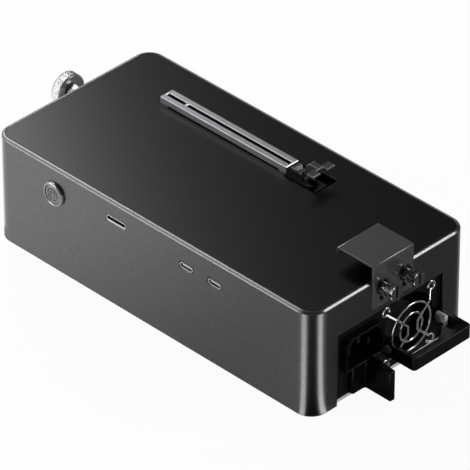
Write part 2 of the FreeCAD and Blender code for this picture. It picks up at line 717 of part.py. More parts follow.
def slot_shell():
    half = SLOT_WIDTH / 2
    y0, y1 = SLOT_CENTRE_Y - half, SLOT_CENTRE_Y + half
    outer = box(SLOT_START_X, SLOT_END_X, y0, y1, SLOT_BOARD_TOP, SLOT_TOP)
    inner = box(SLOT_START_X + SLOT_SHEET, SLOT_END_X - SLOT_SHEET, y0 + SLOT_SHEET,
                y1 - SLOT_SHEET, SLOT_BOARD_TOP, SLOT_TOP - SLOT_SHEET)
    gap = box(SLOT_START_X + SHELL_FOOT, SLOT_END_X - SHELL_FOOT, y0 - 1, y1 + 1,
              SLOT_BOARD_TOP, SHELL_TOP + SHELL_GAP)
    grooves = slot_grooves(SHELL_OPENING / 2, SLOT_TOP - 1, SLOT_TOP + 1)
    return outer.cut(fused([inner, gap])).cut(grooves)


def slot_body():
    half = SLOT_WIDTH / 2 - SLOT_SHEET
    top = SLOT_TOP - SLOT_SHEET
    body = box(SLOT_START_X + SLOT_SHEET, SLOT_END_X - SLOT_SHEET, SLOT_CENTRE_Y - half,
               SLOT_CENTRE_Y + half, SLOT_BOARD_TOP, top)
    body = body.cut(slot_grooves(GROOVE_WIDTH / 2, top - GROOVE_DEPTH, top))
    return body.cut(slot_grooves(GROOVE_CHANNEL / 2, top - GROOVE_DEPTH, top - GROOVE_LIP))


def slot_contacts():
    floor = SLOT_TOP - SLOT_SHEET - GROOVE_DEPTH
    contacts = []
    for x0, x1 in groove_spans():
        count = int((x1 - x0) / CONTACT_PITCH) - 1
        first = (x0 + x1 - (count - 1) * CONTACT_PITCH - CONTACT_WIDTH) / 2
        for index in range(count):
            left = first + index * CONTACT_PITCH
            for side in (-1, 1):
                near = SLOT_CENTRE_Y + side * (GROOVE_WIDTH / 2 - 0.1)
                far = near + side * CONTACT_THICKNESS
                contacts.append(box(left, left + CONTACT_WIDTH, min(near, far), max(near, far),
                                    floor, floor + CONTACT_HEIGHT))
    return contacts


def latch_pivot():
    return Vec(LATCH_X + LATCH_PIVOT_X, SLOT_CENTRE_Y, SHELL_TOP - LATCH_PIVOT_DROP)


def latch_base():
    y0, y1 = SLOT_CENTRE_Y - LATCH_HALF_WIDTH, SLOT_CENTRE_Y + LATCH_HALF_WIDTH
    low = box(LATCH_X, LATCH_X + LATCH_LENGTH, y0, y1, SLOT_BOARD_TOP, SHELL_TOP + 1.2)
    cheeks = box(LATCH_X, LATCH_X + LATCH_CHEEK_LENGTH, y0 + 1.6, y1 - 1.6, SLOT_BOARD_TOP, SLOT_TOP)
    pocket = box(LATCH_X + 0.8, LATCH_X + LATCH_LENGTH - 2.8, SLOT_CENTRE_Y - LATCH_POCKET_HALF,
                 SLOT_CENTRE_Y + LATCH_POCKET_HALF, SLOT_BOARD_TOP + 1.5, SLOT_TOP + 1)
    pivot = latch_pivot()
    hole = rod(Vec(pivot.x, y0 - 1, pivot.z), Y_AXIS, LATCH_PIN_RADIUS, y1 - y0 + 2)
    corner = [edge for edge in edges_along(low, Z_AXIS)
              if edge.Vertexes[0].X > LATCH_X + 1 and edge.Vertexes[0].Y < SLOT_CENTRE_Y]
    low = low.makeFillet(LATCH_RAIL_CORNER, corner)
    sunk = box(LATCH_X + LATCH_CHEEK_LENGTH, LATCH_X + LATCH_LENGTH + 1,
               SLOT_CENTRE_Y - LATCH_POCKET_HALF, y1 + 1, SHELL_TOP - LATCH_RAIL_DROP, SLOT_TOP + 1)
    return low.fuse(cheeks).removeSplitter().cut(fused([pocket, hole, sunk]))


def latch_pin():
    pivot = latch_pivot()
    return rod(Vec(pivot.x, SLOT_CENTRE_Y - LATCH_HALF_WIDTH, pivot.z), Y_AXIS, LATCH_PIN_RADIUS,
               2 * LATCH_HALF_WIDTH)


def card_latch():
    pivot = latch_pivot()
    head = SHELL_TOP + LATCH_HEAD_RISE
    neck = head - LATCH_HEAD_THICKNESS
    start, end = LATCH_HEAD_START, LATCH_HEAD_START + LATCH_HEAD_LENGTH
    outline = [(-2.6, -2.2), (2.2, -2.2), (4.5, 2.6), (start - 2.2, neck - pivot.z - 1.6),
               (start - 0.4, neck - pivot.z), (end, neck - pivot.z), (end, head - pivot.z),
               (start - 4.8, head - pivot.z), (start - 6.8, head - pivot.z - 1.8), (1.9, 5.2),
               (-1.8, 4.2), (-3.2, 6.0), (-5.0, 6.0), (-5.0, 3.6), (-3.0, 1.5)]
    y0 = SLOT_CENTRE_Y - LATCH_LEVER_HALF
    points = [Vec(pivot.x + dx, y0, pivot.z + dz) for dx, dz in outline]
    arm = prism(points, Vec(0, 2 * LATCH_LEVER_HALF, 0))
    pad = box(pivot.x + start, pivot.x + end, SLOT_CENTRE_Y - LATCH_HEAD_HALF,
              SLOT_CENTRE_Y + LATCH_HEAD_HALF, neck, head)
    fork = box(pivot.x + end - LATCH_FORK_DEPTH, pivot.x + end + 1, SLOT_CENTRE_Y - LATCH_FORK_HALF,
               SLOT_CENTRE_Y + LATCH_FORK_HALF, neck - 3, head + 1)
    step = box(pivot.x + 2.4, pivot.x + start - 0.2, y0 - 1, y0 + LATCH_ARM_STEP, pivot.z + 4.4, head + 1)
    bore = rod(Vec(pivot.x, y0 - 1, pivot.z), Y_AXIS, LATCH_PIN_RADIUS + THREAD_GAP,
               2 * LATCH_LEVER_HALF + 2)
    return arm.cut(step).fuse(pad).removeSplitter().cut(fork.fuse(bore))


def make_slot():
    save("slot_shell", slot_shell())
    save("slot_body", slot_body())
    save("slot_contacts", *slot_contacts())
    save("latch_base", latch_base())
    save("latch_pin", latch_pin())
    save("card_latch", card_latch())


# Button and sockets in the front wall

def button_bezel():
    front = -HALF_WIDTH - BUTTON_BEZEL_PROUD
    centre = Vec(BUTTON_X, front, BUTTON_Z)
    flange = rod(centre, Y_AXIS, BUTTON_BEZEL_RADIUS, BUTTON_BEZEL_PROUD)
    rim = [edge for edge in flange.Edges if abs(edge.BoundBox.YMax - front) < 1e-6]
    flange = flange.makeFillet(BUTTON_BEZEL_ROUND, rim)
    barrel = rod(centre, Y_AXIS, BUTTON_BARREL_RADIUS, BUTTON_BEZEL_PROUD + BUTTON_BARREL_LENGTH)
    depth = BUTTON_CAP_SINK + BUTTON_CAP_LENGTH + BUTTON_TRAVEL + 0.3
    bore = rod(centre, Y_AXIS, BUTTON_CAP_RADIUS + BUTTON_RUN_GAP, depth)
    return flange.fuse(barrel).removeSplitter().cut(bore)


def button_cap():
    front = -HALF_WIDTH - BUTTON_BEZEL_PROUD + BUTTON_CAP_SINK
    cap = rod(Vec(BUTTON_X, front, BUTTON_Z), Y_AXIS, BUTTON_CAP_RADIUS, BUTTON_CAP_LENGTH)
    rim = [edge for edge in cap.Edges if abs(edge.BoundBox.YMax - front) < 1e-6]
    cap = cap.makeFillet(BUTTON_CAP_ROUND, rim)
    grooves = [tube(Vec(BUTTON_X, front, BUTTON_Z), Y_AXIS, radius + BUTTON_GROOVE_WIDTH / 2,
                    radius - BUTTON_GROOVE_WIDTH / 2, BUTTON_GROOVE_DEPTH)
               for radius in BUTTON_GROOVES]
    return cap.cut(fused(grooves))


def button_nut():
    start = Vec(BUTTON_X, -INNER_SIDE, BUTTON_Z)
    return tube(start, Y_AXIS, BUTTON_BARREL_RADIUS + BUTTON_NUT_WALL,
                BUTTON_BARREL_RADIUS + THREAD_GAP, BUTTON_NUT_THICKNESS)


def button_terminals():
    back = -HALF_WIDTH + BUTTON_BARREL_LENGTH
    blades = []
    for side in (-1, 1):
        middle = BUTTON_X + side * TERMINAL_PITCH / 2
        blades.append(box(middle - TERMINAL_WIDTH / 2, middle + TERMINAL_WIDTH / 2,
                          back, back + TERMINAL_LENGTH, BUTTON_Z - TERMINAL_THICKNESS / 2,
                          BUTTON_Z + TERMINAL_THICKNESS / 2))
    return blades


def usb_port(x):
    back = PORT_FRONT + USB_DEPTH
    outer = stadium_along_y(x, USB_Z, USB_WIDTH, USB_HEIGHT, PORT_FRONT, back)
    inner = stadium_along_y(x, USB_Z, USB_WIDTH - 2 * USB_SHEET, USB_HEIGHT - 2 * USB_SHEET,
                            PORT_FRONT - 1, back - 1)
    return outer.cut(inner)


def usb_tongues():
    half = USB_TONGUE_WIDTH / 2
    rise = USB_TONGUE_THICKNESS / 2
    return [box(x - half, x + half, PORT_FRONT + TONGUE_SINK, PORT_FRONT + USB_DEPTH - 1,
                USB_Z - rise, USB_Z + rise) for x in USB_PORT_X]


def data_cavity():
    half = DATA_PORT_WIDTH / 2 - DATA_PORT_SKIN
    return box(DATA_PORT_X - half, DATA_PORT_X + half, PORT_FRONT - 1, PORT_FRONT + DATA_PORT_CAVITY,
               DATA_PORT_Z - DATA_PORT_TALL / 2 + DATA_PORT_SILL,
               DATA_PORT_Z + DATA_PORT_TALL / 2 - DATA_PORT_SKIN)


def data_port():
    half = DATA_PORT_WIDTH / 2
    nose = box(DATA_PORT_X - half, DATA_PORT_X + half, PORT_FRONT, -INNER_SIDE + 1,
               DATA_PORT_Z - DATA_PORT_TALL / 2, DATA_PORT_Z + DATA_PORT_TALL / 2)
    nose = nose.makeFillet(DATA_PORT_TALL / 4, edges_along(nose, Y_AXIS))
    body = box(DATA_PORT_X - half - 1.2, DATA_PORT_X + half + 1.2, -INNER_SIDE + MAIN_BOARD_FRONT_GAP,
               PORT_FRONT + DATA_PORT_DEPTH, MAIN_BOARD_TOP, DATA_PORT_Z + DATA_PORT_TALL / 2 + 1.2)
    return nose.fuse(body).removeSplitter().cut(data_cavity())


def data_tongue():
    half = DATA_PORT_WIDTH / 2 - 1.6
    middle = DATA_PORT_Z + (DATA_PORT_SILL - DATA_PORT_SKIN) / 2
    rise = DATA_TONGUE_THICKNESS / 2
    return box(DATA_PORT_X - half, DATA_PORT_X + half, PORT_FRONT + 2 * TONGUE_SINK,
               PORT_FRONT + DATA_PORT_CAVITY, middle - rise, middle + rise)


def make_front():
    save("button_bezel", button_bezel())
    save("button_cap", button_cap())
    save("button_nut", button_nut())
    save("button_terminals", *button_terminals())
    for number, x in enumerate(USB_PORT_X, start=1):
        save("usb_c_port_%d" % number, usb_port(x))
    save("usb_c_tongues", *usb_tongues())
    save("data_port", data_port())
    save("data_port_tongue", data_tongue())


# Card rest on the near end, held by two thumbscrews

def rest_screw_places():
    return (-REST_SLOT_SPACING / 2, REST_SLOT_SPACING / 2)


def card_rest():
    z1 = REST_TOP_Z
    z0 = REST_BOTTOM_Z
    back = REST_FACE - REST_DEPTH
    outline = [(HALF_LENGTH, z0), (REST_FACE, z0), (REST_FACE, z1), (back, z1),
               (back, z1 - REST_LIP), (back + REST_SHEET, z1 - REST_LIP),
               (back + REST_SHEET, z1 - REST_SHEET), (HALF_LENGTH, z1 - REST_SHEET)]
    points = [Vec(x, -REST_WIDTH / 2, z) for x, z in outline]
    sheet = prism(points, Vec(0, REST_WIDTH, 0))
    outside = {(REST_FACE, z1), (back, z1)}
    inside = {(HALF_LENGTH, z1 - REST_SHEET), (back + REST_SHEET, z1 - REST_SHEET)}
    for places, radius in ((outside, REST_BEND_OUTER), (inside, REST_BEND)):
        bends = [edge for edge in edges_along(sheet, Y_AXIS)
                 if any(abs(edge.Vertexes[0].X - x) + abs(edge.Vertexes[0].Z - z) < 1e-6
                        for x, z in places)]
        sheet = sheet.makeFillet(radius, bends)
    slots = [stadium_along_x(y, THUMB_Z - REST_SLOT_BELOW, THUMB_Z + REST_SLOT_ABOVE,
                             REST_SLOT_WIDTH, HALF_LENGTH - 1, REST_FACE + 1)
             for y in rest_screw_places()]
    return sheet.cut(fused(slots))


def thumbscrew(y):
    base = REST_FACE + FACE_GAP + WASHER_THICKNESS + FACE_GAP
    start = base + THUMB_COLLAR
    head = rod(Vec(start, y, THUMB_Z), X_AXIS, THUMB_RADIUS, THUMB_LENGTH)
    head = head.makeChamfer(0.5, [edge for edge in head.Edges if isinstance(edge.Curve, Part.Circle)])
    collar = rod(Vec(base, y, THUMB_Z), X_AXIS, THUMB_COLLAR_RADIUS, THUMB_COLLAR)
    drive = box(start + THUMB_LENGTH - 1.6, start + THUMB_LENGTH + 1, y - THUMB_SLOT / 2,
                y + THUMB_SLOT / 2, THUMB_Z - THUMB_RADIUS - 1, THUMB_Z + THUMB_RADIUS + 1)
    tip = INNER_END - 4
    shank = rod(Vec(tip, y, THUMB_Z), X_AXIS, SCREW_RADIUS, start - tip + 1)
    return fused([head.cut(drive), collar, shank])


def thumb_washer(y):
    return tube(Vec(REST_FACE + FACE_GAP, y, THUMB_Z), X_AXIS, WASHER_RADIUS,
                SCREW_RADIUS + THREAD_GAP, WASHER_THICKNESS)


def rest_nuts():
    radius = TOP_UNDER - THUMB_Z - 0.2
    return [tube(Vec(INNER_END - 2.5, y, THUMB_Z), X_AXIS, radius, SCREW_RADIUS + THREAD_GAP, 2.5)
            for y in rest_screw_places()]


def make_rest():
    save("card_rest", card_rest())
    for side, y in zip(("left", "right"), rest_screw_places()):
        save("thumbscrew_" + side, thumbscrew(y))
        save("washer_" + side, thumb_washer(y))
    save("rest_nuts", *rest_nuts())


# Clamp for the card's bracket on the far end

def clamp_post():
    wall = -HALF_LENGTH
    post = rod(Vec(wall - CLAMP_POST_LENGTH, CLAMP_Y, CLAMP_Z), X_AXIS, CLAMP_POST_RADIUS,
               CLAMP_POST_LENGTH)
    outer = [edge for edge in post.Edges if isinstance(edge.Curve, Part.Circle)
             and abs(edge.Curve.Center.x - wall + CLAMP_POST_LENGTH) < 1e-6]
    post = post.makeChamfer(0.5, outer)
    stud = rod(Vec(wall - 1, CLAMP_Y, CLAMP_Z), X_AXIS, CLAMP_STUD_RADIUS, WALL + 6)
    bore = rod(Vec(wall - CLAMP_POST_LENGTH - 1, CLAMP_Y, CLAMP_Z), X_AXIS,
               CLAMP_SHANK_RADIUS + THREAD_GAP, CLAMP_POST_LENGTH + 4)
    return post.fuse(stud).removeSplitter().cut(bore)


def clamp_nut():
    return tube(Vec(-INNER_END, CLAMP_Y, CLAMP_Z), X_AXIS, CLAMP_STUD_RADIUS + 1.9,
                CLAMP_STUD_RADIUS + THREAD_GAP, 3.0)


def clamp_knob():
    face = -HALF_LENGTH - CLAMP_POST_LENGTH - CLAMP_MOUTH
    head = rod(Vec(face, CLAMP_Y, CLAMP_Z), -X_AXIS, CLAMP_KNOB_RADIUS, CLAMP_KNOB_LENGTH)
    head = head.makeChamfer(0.7, [edge for edge in head.Edges if isinstance(edge.Curve, Part.Circle)])
    shank = rod(Vec(face - 1, CLAMP_Y, CLAMP_Z), X_AXIS, CLAMP_SHANK_RADIUS,
                CLAMP_POST_LENGTH + CLAMP_MOUTH + 2)
    return head.fuse(shank).removeSplitter()


def make_clamp():
    save("clamp_post", clamp_post())
    save("clamp_nut", clamp_nut())
    save("clamp_knob", clamp_knob())


# Power supply module

def inlet_outline(width, height, corner, x):
    half, top, low = width / 2, INLET_CENTRE_Z + height / 2, INLET_CENTRE_Z - height / 2
    flat = [(-half, low), (half, low), (half, top - corner), (half - corner, top),
            (-half + corner, top), (-half, top - corner)]
    return [Vec(x, INLET_Y + y, SHELL_BOTTOM + z) for y, z in flat]


def power_inlet():
    rim = prism(inlet_outline(INLET_WIDTH, INLET_HEIGHT, INLET_RIM_CORNER, PSU_FACE - INLET_BODY),
                Vec(INLET_BODY + INLET_PROUD, 0, 0))
    recess = prism(inlet_outline(INLET_RECESS_WIDTH, INLET_RECESS_HEIGHT, INLET_CORNER,
                                 PSU_FACE + INLET_PROUD - INLET_RECESS_DEPTH),
                   Vec(INLET_RECESS_DEPTH + 1, 0, 0))
    return rim.cut(recess)


def inlet_pins():
    x0 = PSU_FACE + INLET_PROUD - INLET_RECESS_DEPTH
    pins = []
    for dy, dz in ((-PIN_SPACING, -2.0), (PIN_SPACING, -2.0), (0, PIN_EARTH_LIFT - 2.0)):
        y, z = INLET_Y + dy, SHELL_BOTTOM + INLET_CENTRE_Z + dz
        pins.append(box(x0, x0 + PIN_LENGTH, y - PIN_THICKNESS / 2, y + PIN_THICKNESS / 2,
                        z - PIN_WIDTH / 2, z + PIN_WIDTH / 2))
    return pins


def lever_window():
    left = LEVER_STEM_LEFT - HOLE_GAP
    right = LEVER_STEM_LEFT + LEVER_STEM_WIDTH + LEVER_TRAVEL + HOLE_GAP
    return box(PSU_FACE - 2, PSU_FACE + 1, left, right, SHELL_BOTTOM + LEVER_STEM_BOTTOM - HOLE_GAP,
               SHELL_BOTTOM + LEVER_STEM_TOP + HOLE_GAP)


def hook_window():
    return box(PSU_FACE - PSU_SHEET - 2 - LEVER_ARM - HOLE_GAP, PSU_FACE - PSU_SHEET - 2 + HOLE_GAP,
               -PSU_HALF - 1, -PSU_HALF + 2, SHELL_BOTTOM + LEVER_STEM_BOTTOM - HOLE_GAP,
               SHELL_BOTTOM + LEVER_STEM_TOP + HOLE_GAP)


def handle_ears():
    left = HANDLE_LEFT + HANDLE_ARM
    right = HANDLE_RIGHT - HANDLE_ARM
    ears = []
    for y0 in (left, right - PSU_SHEET):
        ears.append(box(PSU_FACE - PSU_SHEET, PSU_FACE + EAR_LENGTH, y0, y0 + PSU_SHEET,
                        SHELL_BOTTOM + EAR_BOTTOM, SHELL_BOTTOM + EAR_TOP))
    ears.append(box(PSU_FACE - PSU_SHEET, PSU_FACE, left - 5, left + PSU_SHEET,
                    SHELL_BOTTOM + EAR_BOTTOM, SHELL_BOTTOM + EAR_TOP))
    return ears


def ear_holes():
    x = PSU_FACE + HANDLE_PIVOT_X
    z = SHELL_BOTTOM + HANDLE_PIVOT_Z
    return rod(Vec(x, -PSU_HALF, z), Y_AXIS, HANDLE_SCREW_RADIUS + THREAD_GAP, PSU_WIDTH)


def guard_hole_places():
    half = FAN_HOLE_SPACING / 2
    return [(FAN_Y + sy * half, FAN_Z + sz * half) for sy in (-1, 1) for sz in (-1, 1)]


def psu_case():
    outer = box(PSU_BACK, PSU_FACE, -PSU_HALF, PSU_HALF, PSU_BOTTOM, PSU_TOP)
    inner = box(PSU_BACK + PSU_SHEET, PSU_FACE - PSU_SHEET, -PSU_HALF + PSU_SHEET,
                PSU_HALF - PSU_SHEET, PSU_BOTTOM + PSU_SHEET, PSU_TOP - PSU_SHEET)
    shell = outer.cut(inner)
    holes = [rod(Vec(PSU_FACE - 2, FAN_Y, FAN_Z), X_AXIS, FACE_OPENING_RADIUS, 4),
             prism(inlet_outline(INLET_WIDTH, INLET_HEIGHT, INLET_RIM_CORNER, PSU_FACE - 2),
                   Vec(4, 0, 0)),
             lever_window(), hook_window(),
             box(PSU_BACK - 1, PSU_BACK + 2, -CARD_EDGE_WIDTH / 2 - 1, CARD_EDGE_WIDTH / 2 + 1,
                 CARD_EDGE_Z - 1.2, CARD_EDGE_Z + BOARD_THICKNESS + 1.2)]
    holes += [rod(Vec(PSU_FACE - 2, y, z), X_AXIS, SCREW_RADIUS + THREAD_GAP, 4)
              for y, z in guard_hole_places()]
    vent_pitch, vent_width, vent_count = 5.0, 2.5, 13
    for index in range(vent_count):
        y = (index - (vent_count - 1) / 2) * vent_pitch
        holes.append(box(PSU_BACK - 1, PSU_BACK + 2, y - vent_width / 2, y + vent_width / 2,
                         CARD_EDGE_Z + 8, PSU_TOP - 5))
    shell = shell.cut(fused(holes))
    return fused([shell] + handle_ears() + board_bosses()).cut(ear_holes())


def board_bosses():
    x0 = PSU_BACK + PSU_BOSS_INSET
    x1 = PSU_FACE - PSU_BOARD_FRONT_GAP - PSU_BOSS_INSET
    z0 = PSU_BOTTOM + PSU_SHEET / 2
    return [rod(Vec(x, side * (PSU_HALF - PSU_BOSS_INSET), z0), Z_AXIS, PSU_BOSS_RADIUS,
                CARD_EDGE_Z - z0) for x in (x0, x1) for side in (-1, 1)]


def psu_board():
    half = PSU_HALF - PSU_BOARD_SIDE_GAP
    board = box(PSU_BACK + PSU_SHEET + 0.5, PSU_FACE - PSU_BOARD_FRONT_GAP, -half, half,
                CARD_EDGE_Z, CARD_EDGE_Z + BOARD_THICKNESS)
    edge = box(PSU_BACK - CARD_EDGE_REACH, PSU_BACK + PSU_SHEET + 1, -CARD_EDGE_WIDTH / 2,
               CARD_EDGE_WIDTH / 2, CARD_EDGE_Z, CARD_EDGE_Z + BOARD_THICKNESS)
    return board.fuse(edge).removeSplitter()


def psu_transformer():
    z0 = CARD_EDGE_Z + BOARD_THICKNESS
    x0, x1 = -TRANSFORMER_LENGTH / 2, TRANSFORMER_LENGTH / 2
    y0 = TRANSFORMER_OFFSET_Y - TRANSFORMER_WIDTH / 2
    y1 = y0 + TRANSFORMER_WIDTH
    core = box(x0, x1, y0, y1, z0, z0 + TRANSFORMER_HEIGHT)
    low = z0 + TRANSFORMER_LIMB / 2
    high = z0 + TRANSFORMER_HEIGHT - TRANSFORMER_LIMB / 2
    windows = [box(x0 - 1, x1 + 1, left, left + TRANSFORMER_WINDOW, low, high)
               for left in (y0 + TRANSFORMER_LIMB, y1 - TRANSFORMER_LIMB - TRANSFORMER_WINDOW)]
    return core.cut(fused(windows))


def psu_capacitors():
    z0 = CARD_EDGE_Z + BOARD_THICKNESS
    first = TRANSFORMER_LENGTH / 2 + BULK_CAN_GAP + BULK_CAN_RADIUS
    y = -PSU_HALF / 2
    return [rod(Vec(x, y, z0), Z_AXIS, BULK_CAN_RADIUS, BULK_CAN_HEIGHT)
            for x in (first, first + BULK_CAN_PITCH)]


def psu_heat_sinks():
    z0 = CARD_EDGE_Z + BOARD_THICKNESS
    back = PSU_BACK + 2 * PSU_BOSS_INSET
    y = PSU_HALF - POWER_SINK_SIDE_GAP
    return [box(back, back + LONG_SINK_LENGTH, y - POWER_SINK_THICKNESS, y, z0,
                z0 + TRANSFORMER_HEIGHT),
            box(back, back + SHORT_SINK_LENGTH, -y, -y + POWER_SINK_THICKNESS, z0,
                z0 + TRANSFORMER_HEIGHT)]


def release_lever():
    face = PSU_FACE + LEVER_FACE_GAP
    front = face + LEVER_PLATE_THICKNESS
    z0 = PSU_BOTTOM + LEVER_BOTTOM_GAP
    plate = box(face, front, LEVER_PLATE_LEFT, LEVER_PLATE_RIGHT, z0, SHELL_BOTTOM + LEVER_PLATE_TOP)
    round_edges = [edge for edge in edges_along(plate, Z_AXIS) if abs(edge.Vertexes[0].X - front) < 1e-6]
    plate = plate.makeFillet(1.2, round_edges)
    end = PSU_FACE + LEVER_TAB_REACH
    root = PSU_FACE + INLET_PROUD + LEVER_FACE_GAP
    side = [Vec(front - 0.5, LEVER_TAB_LEFT, z0), Vec(end, LEVER_TAB_LEFT, z0),
            Vec(end, LEVER_TAB_LEFT, SHELL_BOTTOM + LEVER_TAB_TOP_END),
            Vec(root, LEVER_TAB_LEFT, SHELL_BOTTOM + LEVER_TAB_TOP_ROOT),
            Vec(root, LEVER_TAB_LEFT, SHELL_BOTTOM + LEVER_PLATE_TOP),
            Vec(front - 0.5, LEVER_TAB_LEFT, SHELL_BOTTOM + LEVER_PLATE_TOP)]
    tab = prism(side, Vec(0, LEVER_TAB_THICKNESS, 0))
    ends = [edge for edge in edges_along(tab, Z_AXIS) if abs(edge.Vertexes[0].X - end) < 1e-6]
    tab = tab.makeFillet(0.9, ends)
    flare_box = box(front - 0.2, front + LEVER_FLARE, LEVER_TAB_LEFT - LEVER_FLARE,
                    LEVER_TAB_LEFT + 0.2, z0, SHELL_BOTTOM + LEVER_PLATE_TOP)
    hollow = rod(Vec(front + LEVER_FLARE, LEVER_TAB_LEFT - LEVER_FLARE, z0 - 1), Z_AXIS, LEVER_FLARE,
                 LEVER_PLATE_TOP + 2)
    flare = flare_box.cut(hollow)
    inside = PSU_FACE - PSU_SHEET - 2
    stem_right = LEVER_STEM_LEFT + LEVER_STEM_WIDTH
    stem = box(inside - LEVER_ARM, face + 0.2, LEVER_STEM_LEFT, stem_right,
               SHELL_BOTTOM + LEVER_STEM_BOTTOM, SHELL_BOTTOM + LEVER_STEM_TOP)
    arm = box(inside - LEVER_ARM, inside, -PSU_HALF + 0.1, stem_right,
              SHELL_BOTTOM + LEVER_STEM_BOTTOM, SHELL_BOTTOM + LEVER_STEM_TOP)
    return fused([plate, tab, flare, stem, arm])


def pull_handle():
    z0 = SHELL_BOTTOM + HANDLE_BOTTOM
    z1 = z0 + HANDLE_HEIGHT
    x0 = PSU_FACE + FACE_GAP
    x1 = PSU_FACE + HANDLE_REACH
    outer = box(x0, x1, HANDLE_LEFT, HANDLE_RIGHT, z0, z1)
    ends = [edge for edge in edges_along(outer, Z_AXIS) if abs(edge.Vertexes[0].X - x1) < 1e-6]
    outer = outer.makeFillet(HANDLE_CORNER, ends)
    inner = box(x0 - 1, x1 - HANDLE_BAR, HANDLE_LEFT + HANDLE_ARM, HANDLE_RIGHT - HANDLE_ARM,
                z0 - 1, z1 + 1)
    ends = [edge for edge in edges_along(inner, Z_AXIS)
            if abs(edge.Vertexes[0].X - x1 + HANDLE_BAR) < 1e-6]
    inner = inner.makeFillet(HANDLE_INNER_CORNER, ends)
    loop = outer.cut(inner)
    brim = [edge for edge in loop.Edges
            if all(abs(vertex.Z - z1) < 1e-6 for vertex in edge.Vertexes) and edge.BoundBox.XMax > x0 + 1]
    loop = loop.makeFillet(0.5, brim)
    return loop.cut(ear_holes())


def handle_screws():
    x = PSU_FACE + HANDLE_PIVOT_X
    z = SHELL_BOTTOM + HANDLE_PIVOT_Z
    sink = 0.6
    left = HANDLE_LEFT
    first = rod(Vec(x, left - sink, z), Y_AXIS, HANDLE_SCREW_HEAD, sink)
    first = first.fuse(rod(Vec(x, left, z), Y_AXIS, HANDLE_SCREW_RADIUS, HANDLE_ARM + PSU_SHEET))
    inner = HANDLE_RIGHT - HANDLE_ARM - PSU_SHEET - CLIP_SHEET
    second = rod(Vec(x, inner - sink, z), Y_AXIS, HANDLE_SCREW_HEAD, sink)
    second = second.fuse(rod(Vec(x, inner, z), Y_AXIS, HANDLE_SCREW_RADIUS,
                             CLIP_SHEET + PSU_SHEET + HANDLE_ARM - 0.5))
    return [first.removeSplitter(), second.removeSplitter()]


def handle_clip():
    y1 = HANDLE_RIGHT - HANDLE_ARM - PSU_SHEET
    y0 = y1 - CLIP_SHEET
    x0 = PSU_FACE + FACE_GAP
    x1 = PSU_FACE + CLIP_LENGTH
    z0 = SHELL_BOTTOM + CLIP_BOTTOM
    z1 = SHELL_BOTTOM + CLIP_TOP
    leaf = box(x0 + 2.4, x1, y0, y1, z0, z1)
    back = [edge for edge in edges_along(leaf, Y_AXIS) if abs(edge.Vertexes[0].X - x0 - 2.4) < 1e-6]
    leaf = leaf.makeFillet(1.6, back)
    lip = box(x1 - CLIP_SHEET, x1, y0 - CLIP_LIP + CLIP_SHEET, y1, z0, z1)
    return leaf.fuse(lip).removeSplitter().cut(ear_holes())


def make_supply():
    save("psu_case", psu_case())
    save("psu_board", psu_board())
    save("psu_transformer", psu_transformer())
    save("psu_capacitors", *psu_capacitors())
    save("psu_heat_sinks", *psu_heat_sinks())
    save("power_inlet", power_inlet())
    save("inlet_pins", *inlet_pins())
    save("release_lever", release_lever())
    save("pull_handle", pull_handle())
    save("handle_screws", *handle_screws())
    save("handle_clip", handle_clip())


# Fan and wire guard

def fan_frame():
    front = PSU_FACE - PSU_SHEET
    back = front - FAN_DEPTH
    half = FAN_SIZE / 2
    top = min(FAN_Z + half, PSU_TOP - PSU_SHEET) - FACE_GAP
    low = max(FAN_Z - half, PSU_BOTTOM + PSU_SHEET) + FACE_GAP
    body = box(back, front, FAN_Y - half, FAN_Y + half, low, top)
    body = body.makeFillet(3.0, edges_along(body, X_AXIS))
    body = body.cut(rod(Vec(back - 1, FAN_Y, FAN_Z), X_AXIS, FAN_BORE_RADIUS, FAN_DEPTH + 2))
    holes = [rod(Vec(front - 8, y, z), X_AXIS, SCREW_RADIUS + THREAD_GAP, 9)
             for y, z in guard_hole_places()]
    plate = rod(Vec(back, FAN_Y, FAN_Z), X_AXIS, ROTOR_HUB_RADIUS, 2.0)
    struts = []
    for turn in range(4):
        strut = box(back, back + 2.0, FAN_Y - 1.2, FAN_Y + 1.2,
                    FAN_Z + ROTOR_HUB_RADIUS - 1, FAN_Z + FAN_BORE_RADIUS + 0.6)
        strut.rotate(Vec(0, FAN_Y, FAN_Z), X_AXIS, 45 + 90 * turn)
        struts.append(strut)
    return fused([body.cut(fused(holes)), plate] + struts)


def fan_motor():
    start = Vec(FAN_BACK + 2.0, FAN_Y, FAN_Z)
    stator = tube(Vec(FAN_BACK + 5.0, FAN_Y, FAN_Z), X_AXIS, MOTOR_RADIUS,
                  BEARING_RADIUS - 0.5, MOTOR_LENGTH)
    bearing = tube(start, X_AXIS, BEARING_RADIUS, SHAFT_RADIUS + THREAD_GAP, BEARING_LENGTH)
    return stator.fuse(bearing).removeSplitter()


def blade(turn):
    stations = ((ROTOR_HUB_RADIUS - 0.5, BLADE_ANGLE_ROOT),
                ((ROTOR_HUB_RADIUS + ROTOR_RADIUS) / 2, (BLADE_ANGLE_ROOT + BLADE_ANGLE_TIP) / 2),
                (ROTOR_RADIUS, BLADE_ANGLE_TIP))
    middle = FAN_BACK + 3.0 + ROTOR_DEPTH / 2
    wires = []
    for radius, angle in stations:
        lean = math.radians(angle)
        along = Vec(math.sin(lean), math.cos(lean), 0) * (BLADE_CHORD / 2)
        across = Vec(math.cos(lean), -math.sin(lean), 0) * (BLADE_THICKNESS / 2)
        centre = Vec(middle, 0, radius)
        ring = [centre - along - across, centre + along - across, centre + along + across,
                centre - along + across]
        wires.append(Part.makePolygon(ring + [ring[0]]))
    shape = Part.makeLoft(wires, True, True)
    shape.rotate(Vec(0, 0, 0), X_AXIS, turn)
    shape.translate(Vec(0, FAN_Y, FAN_Z))
    return shape


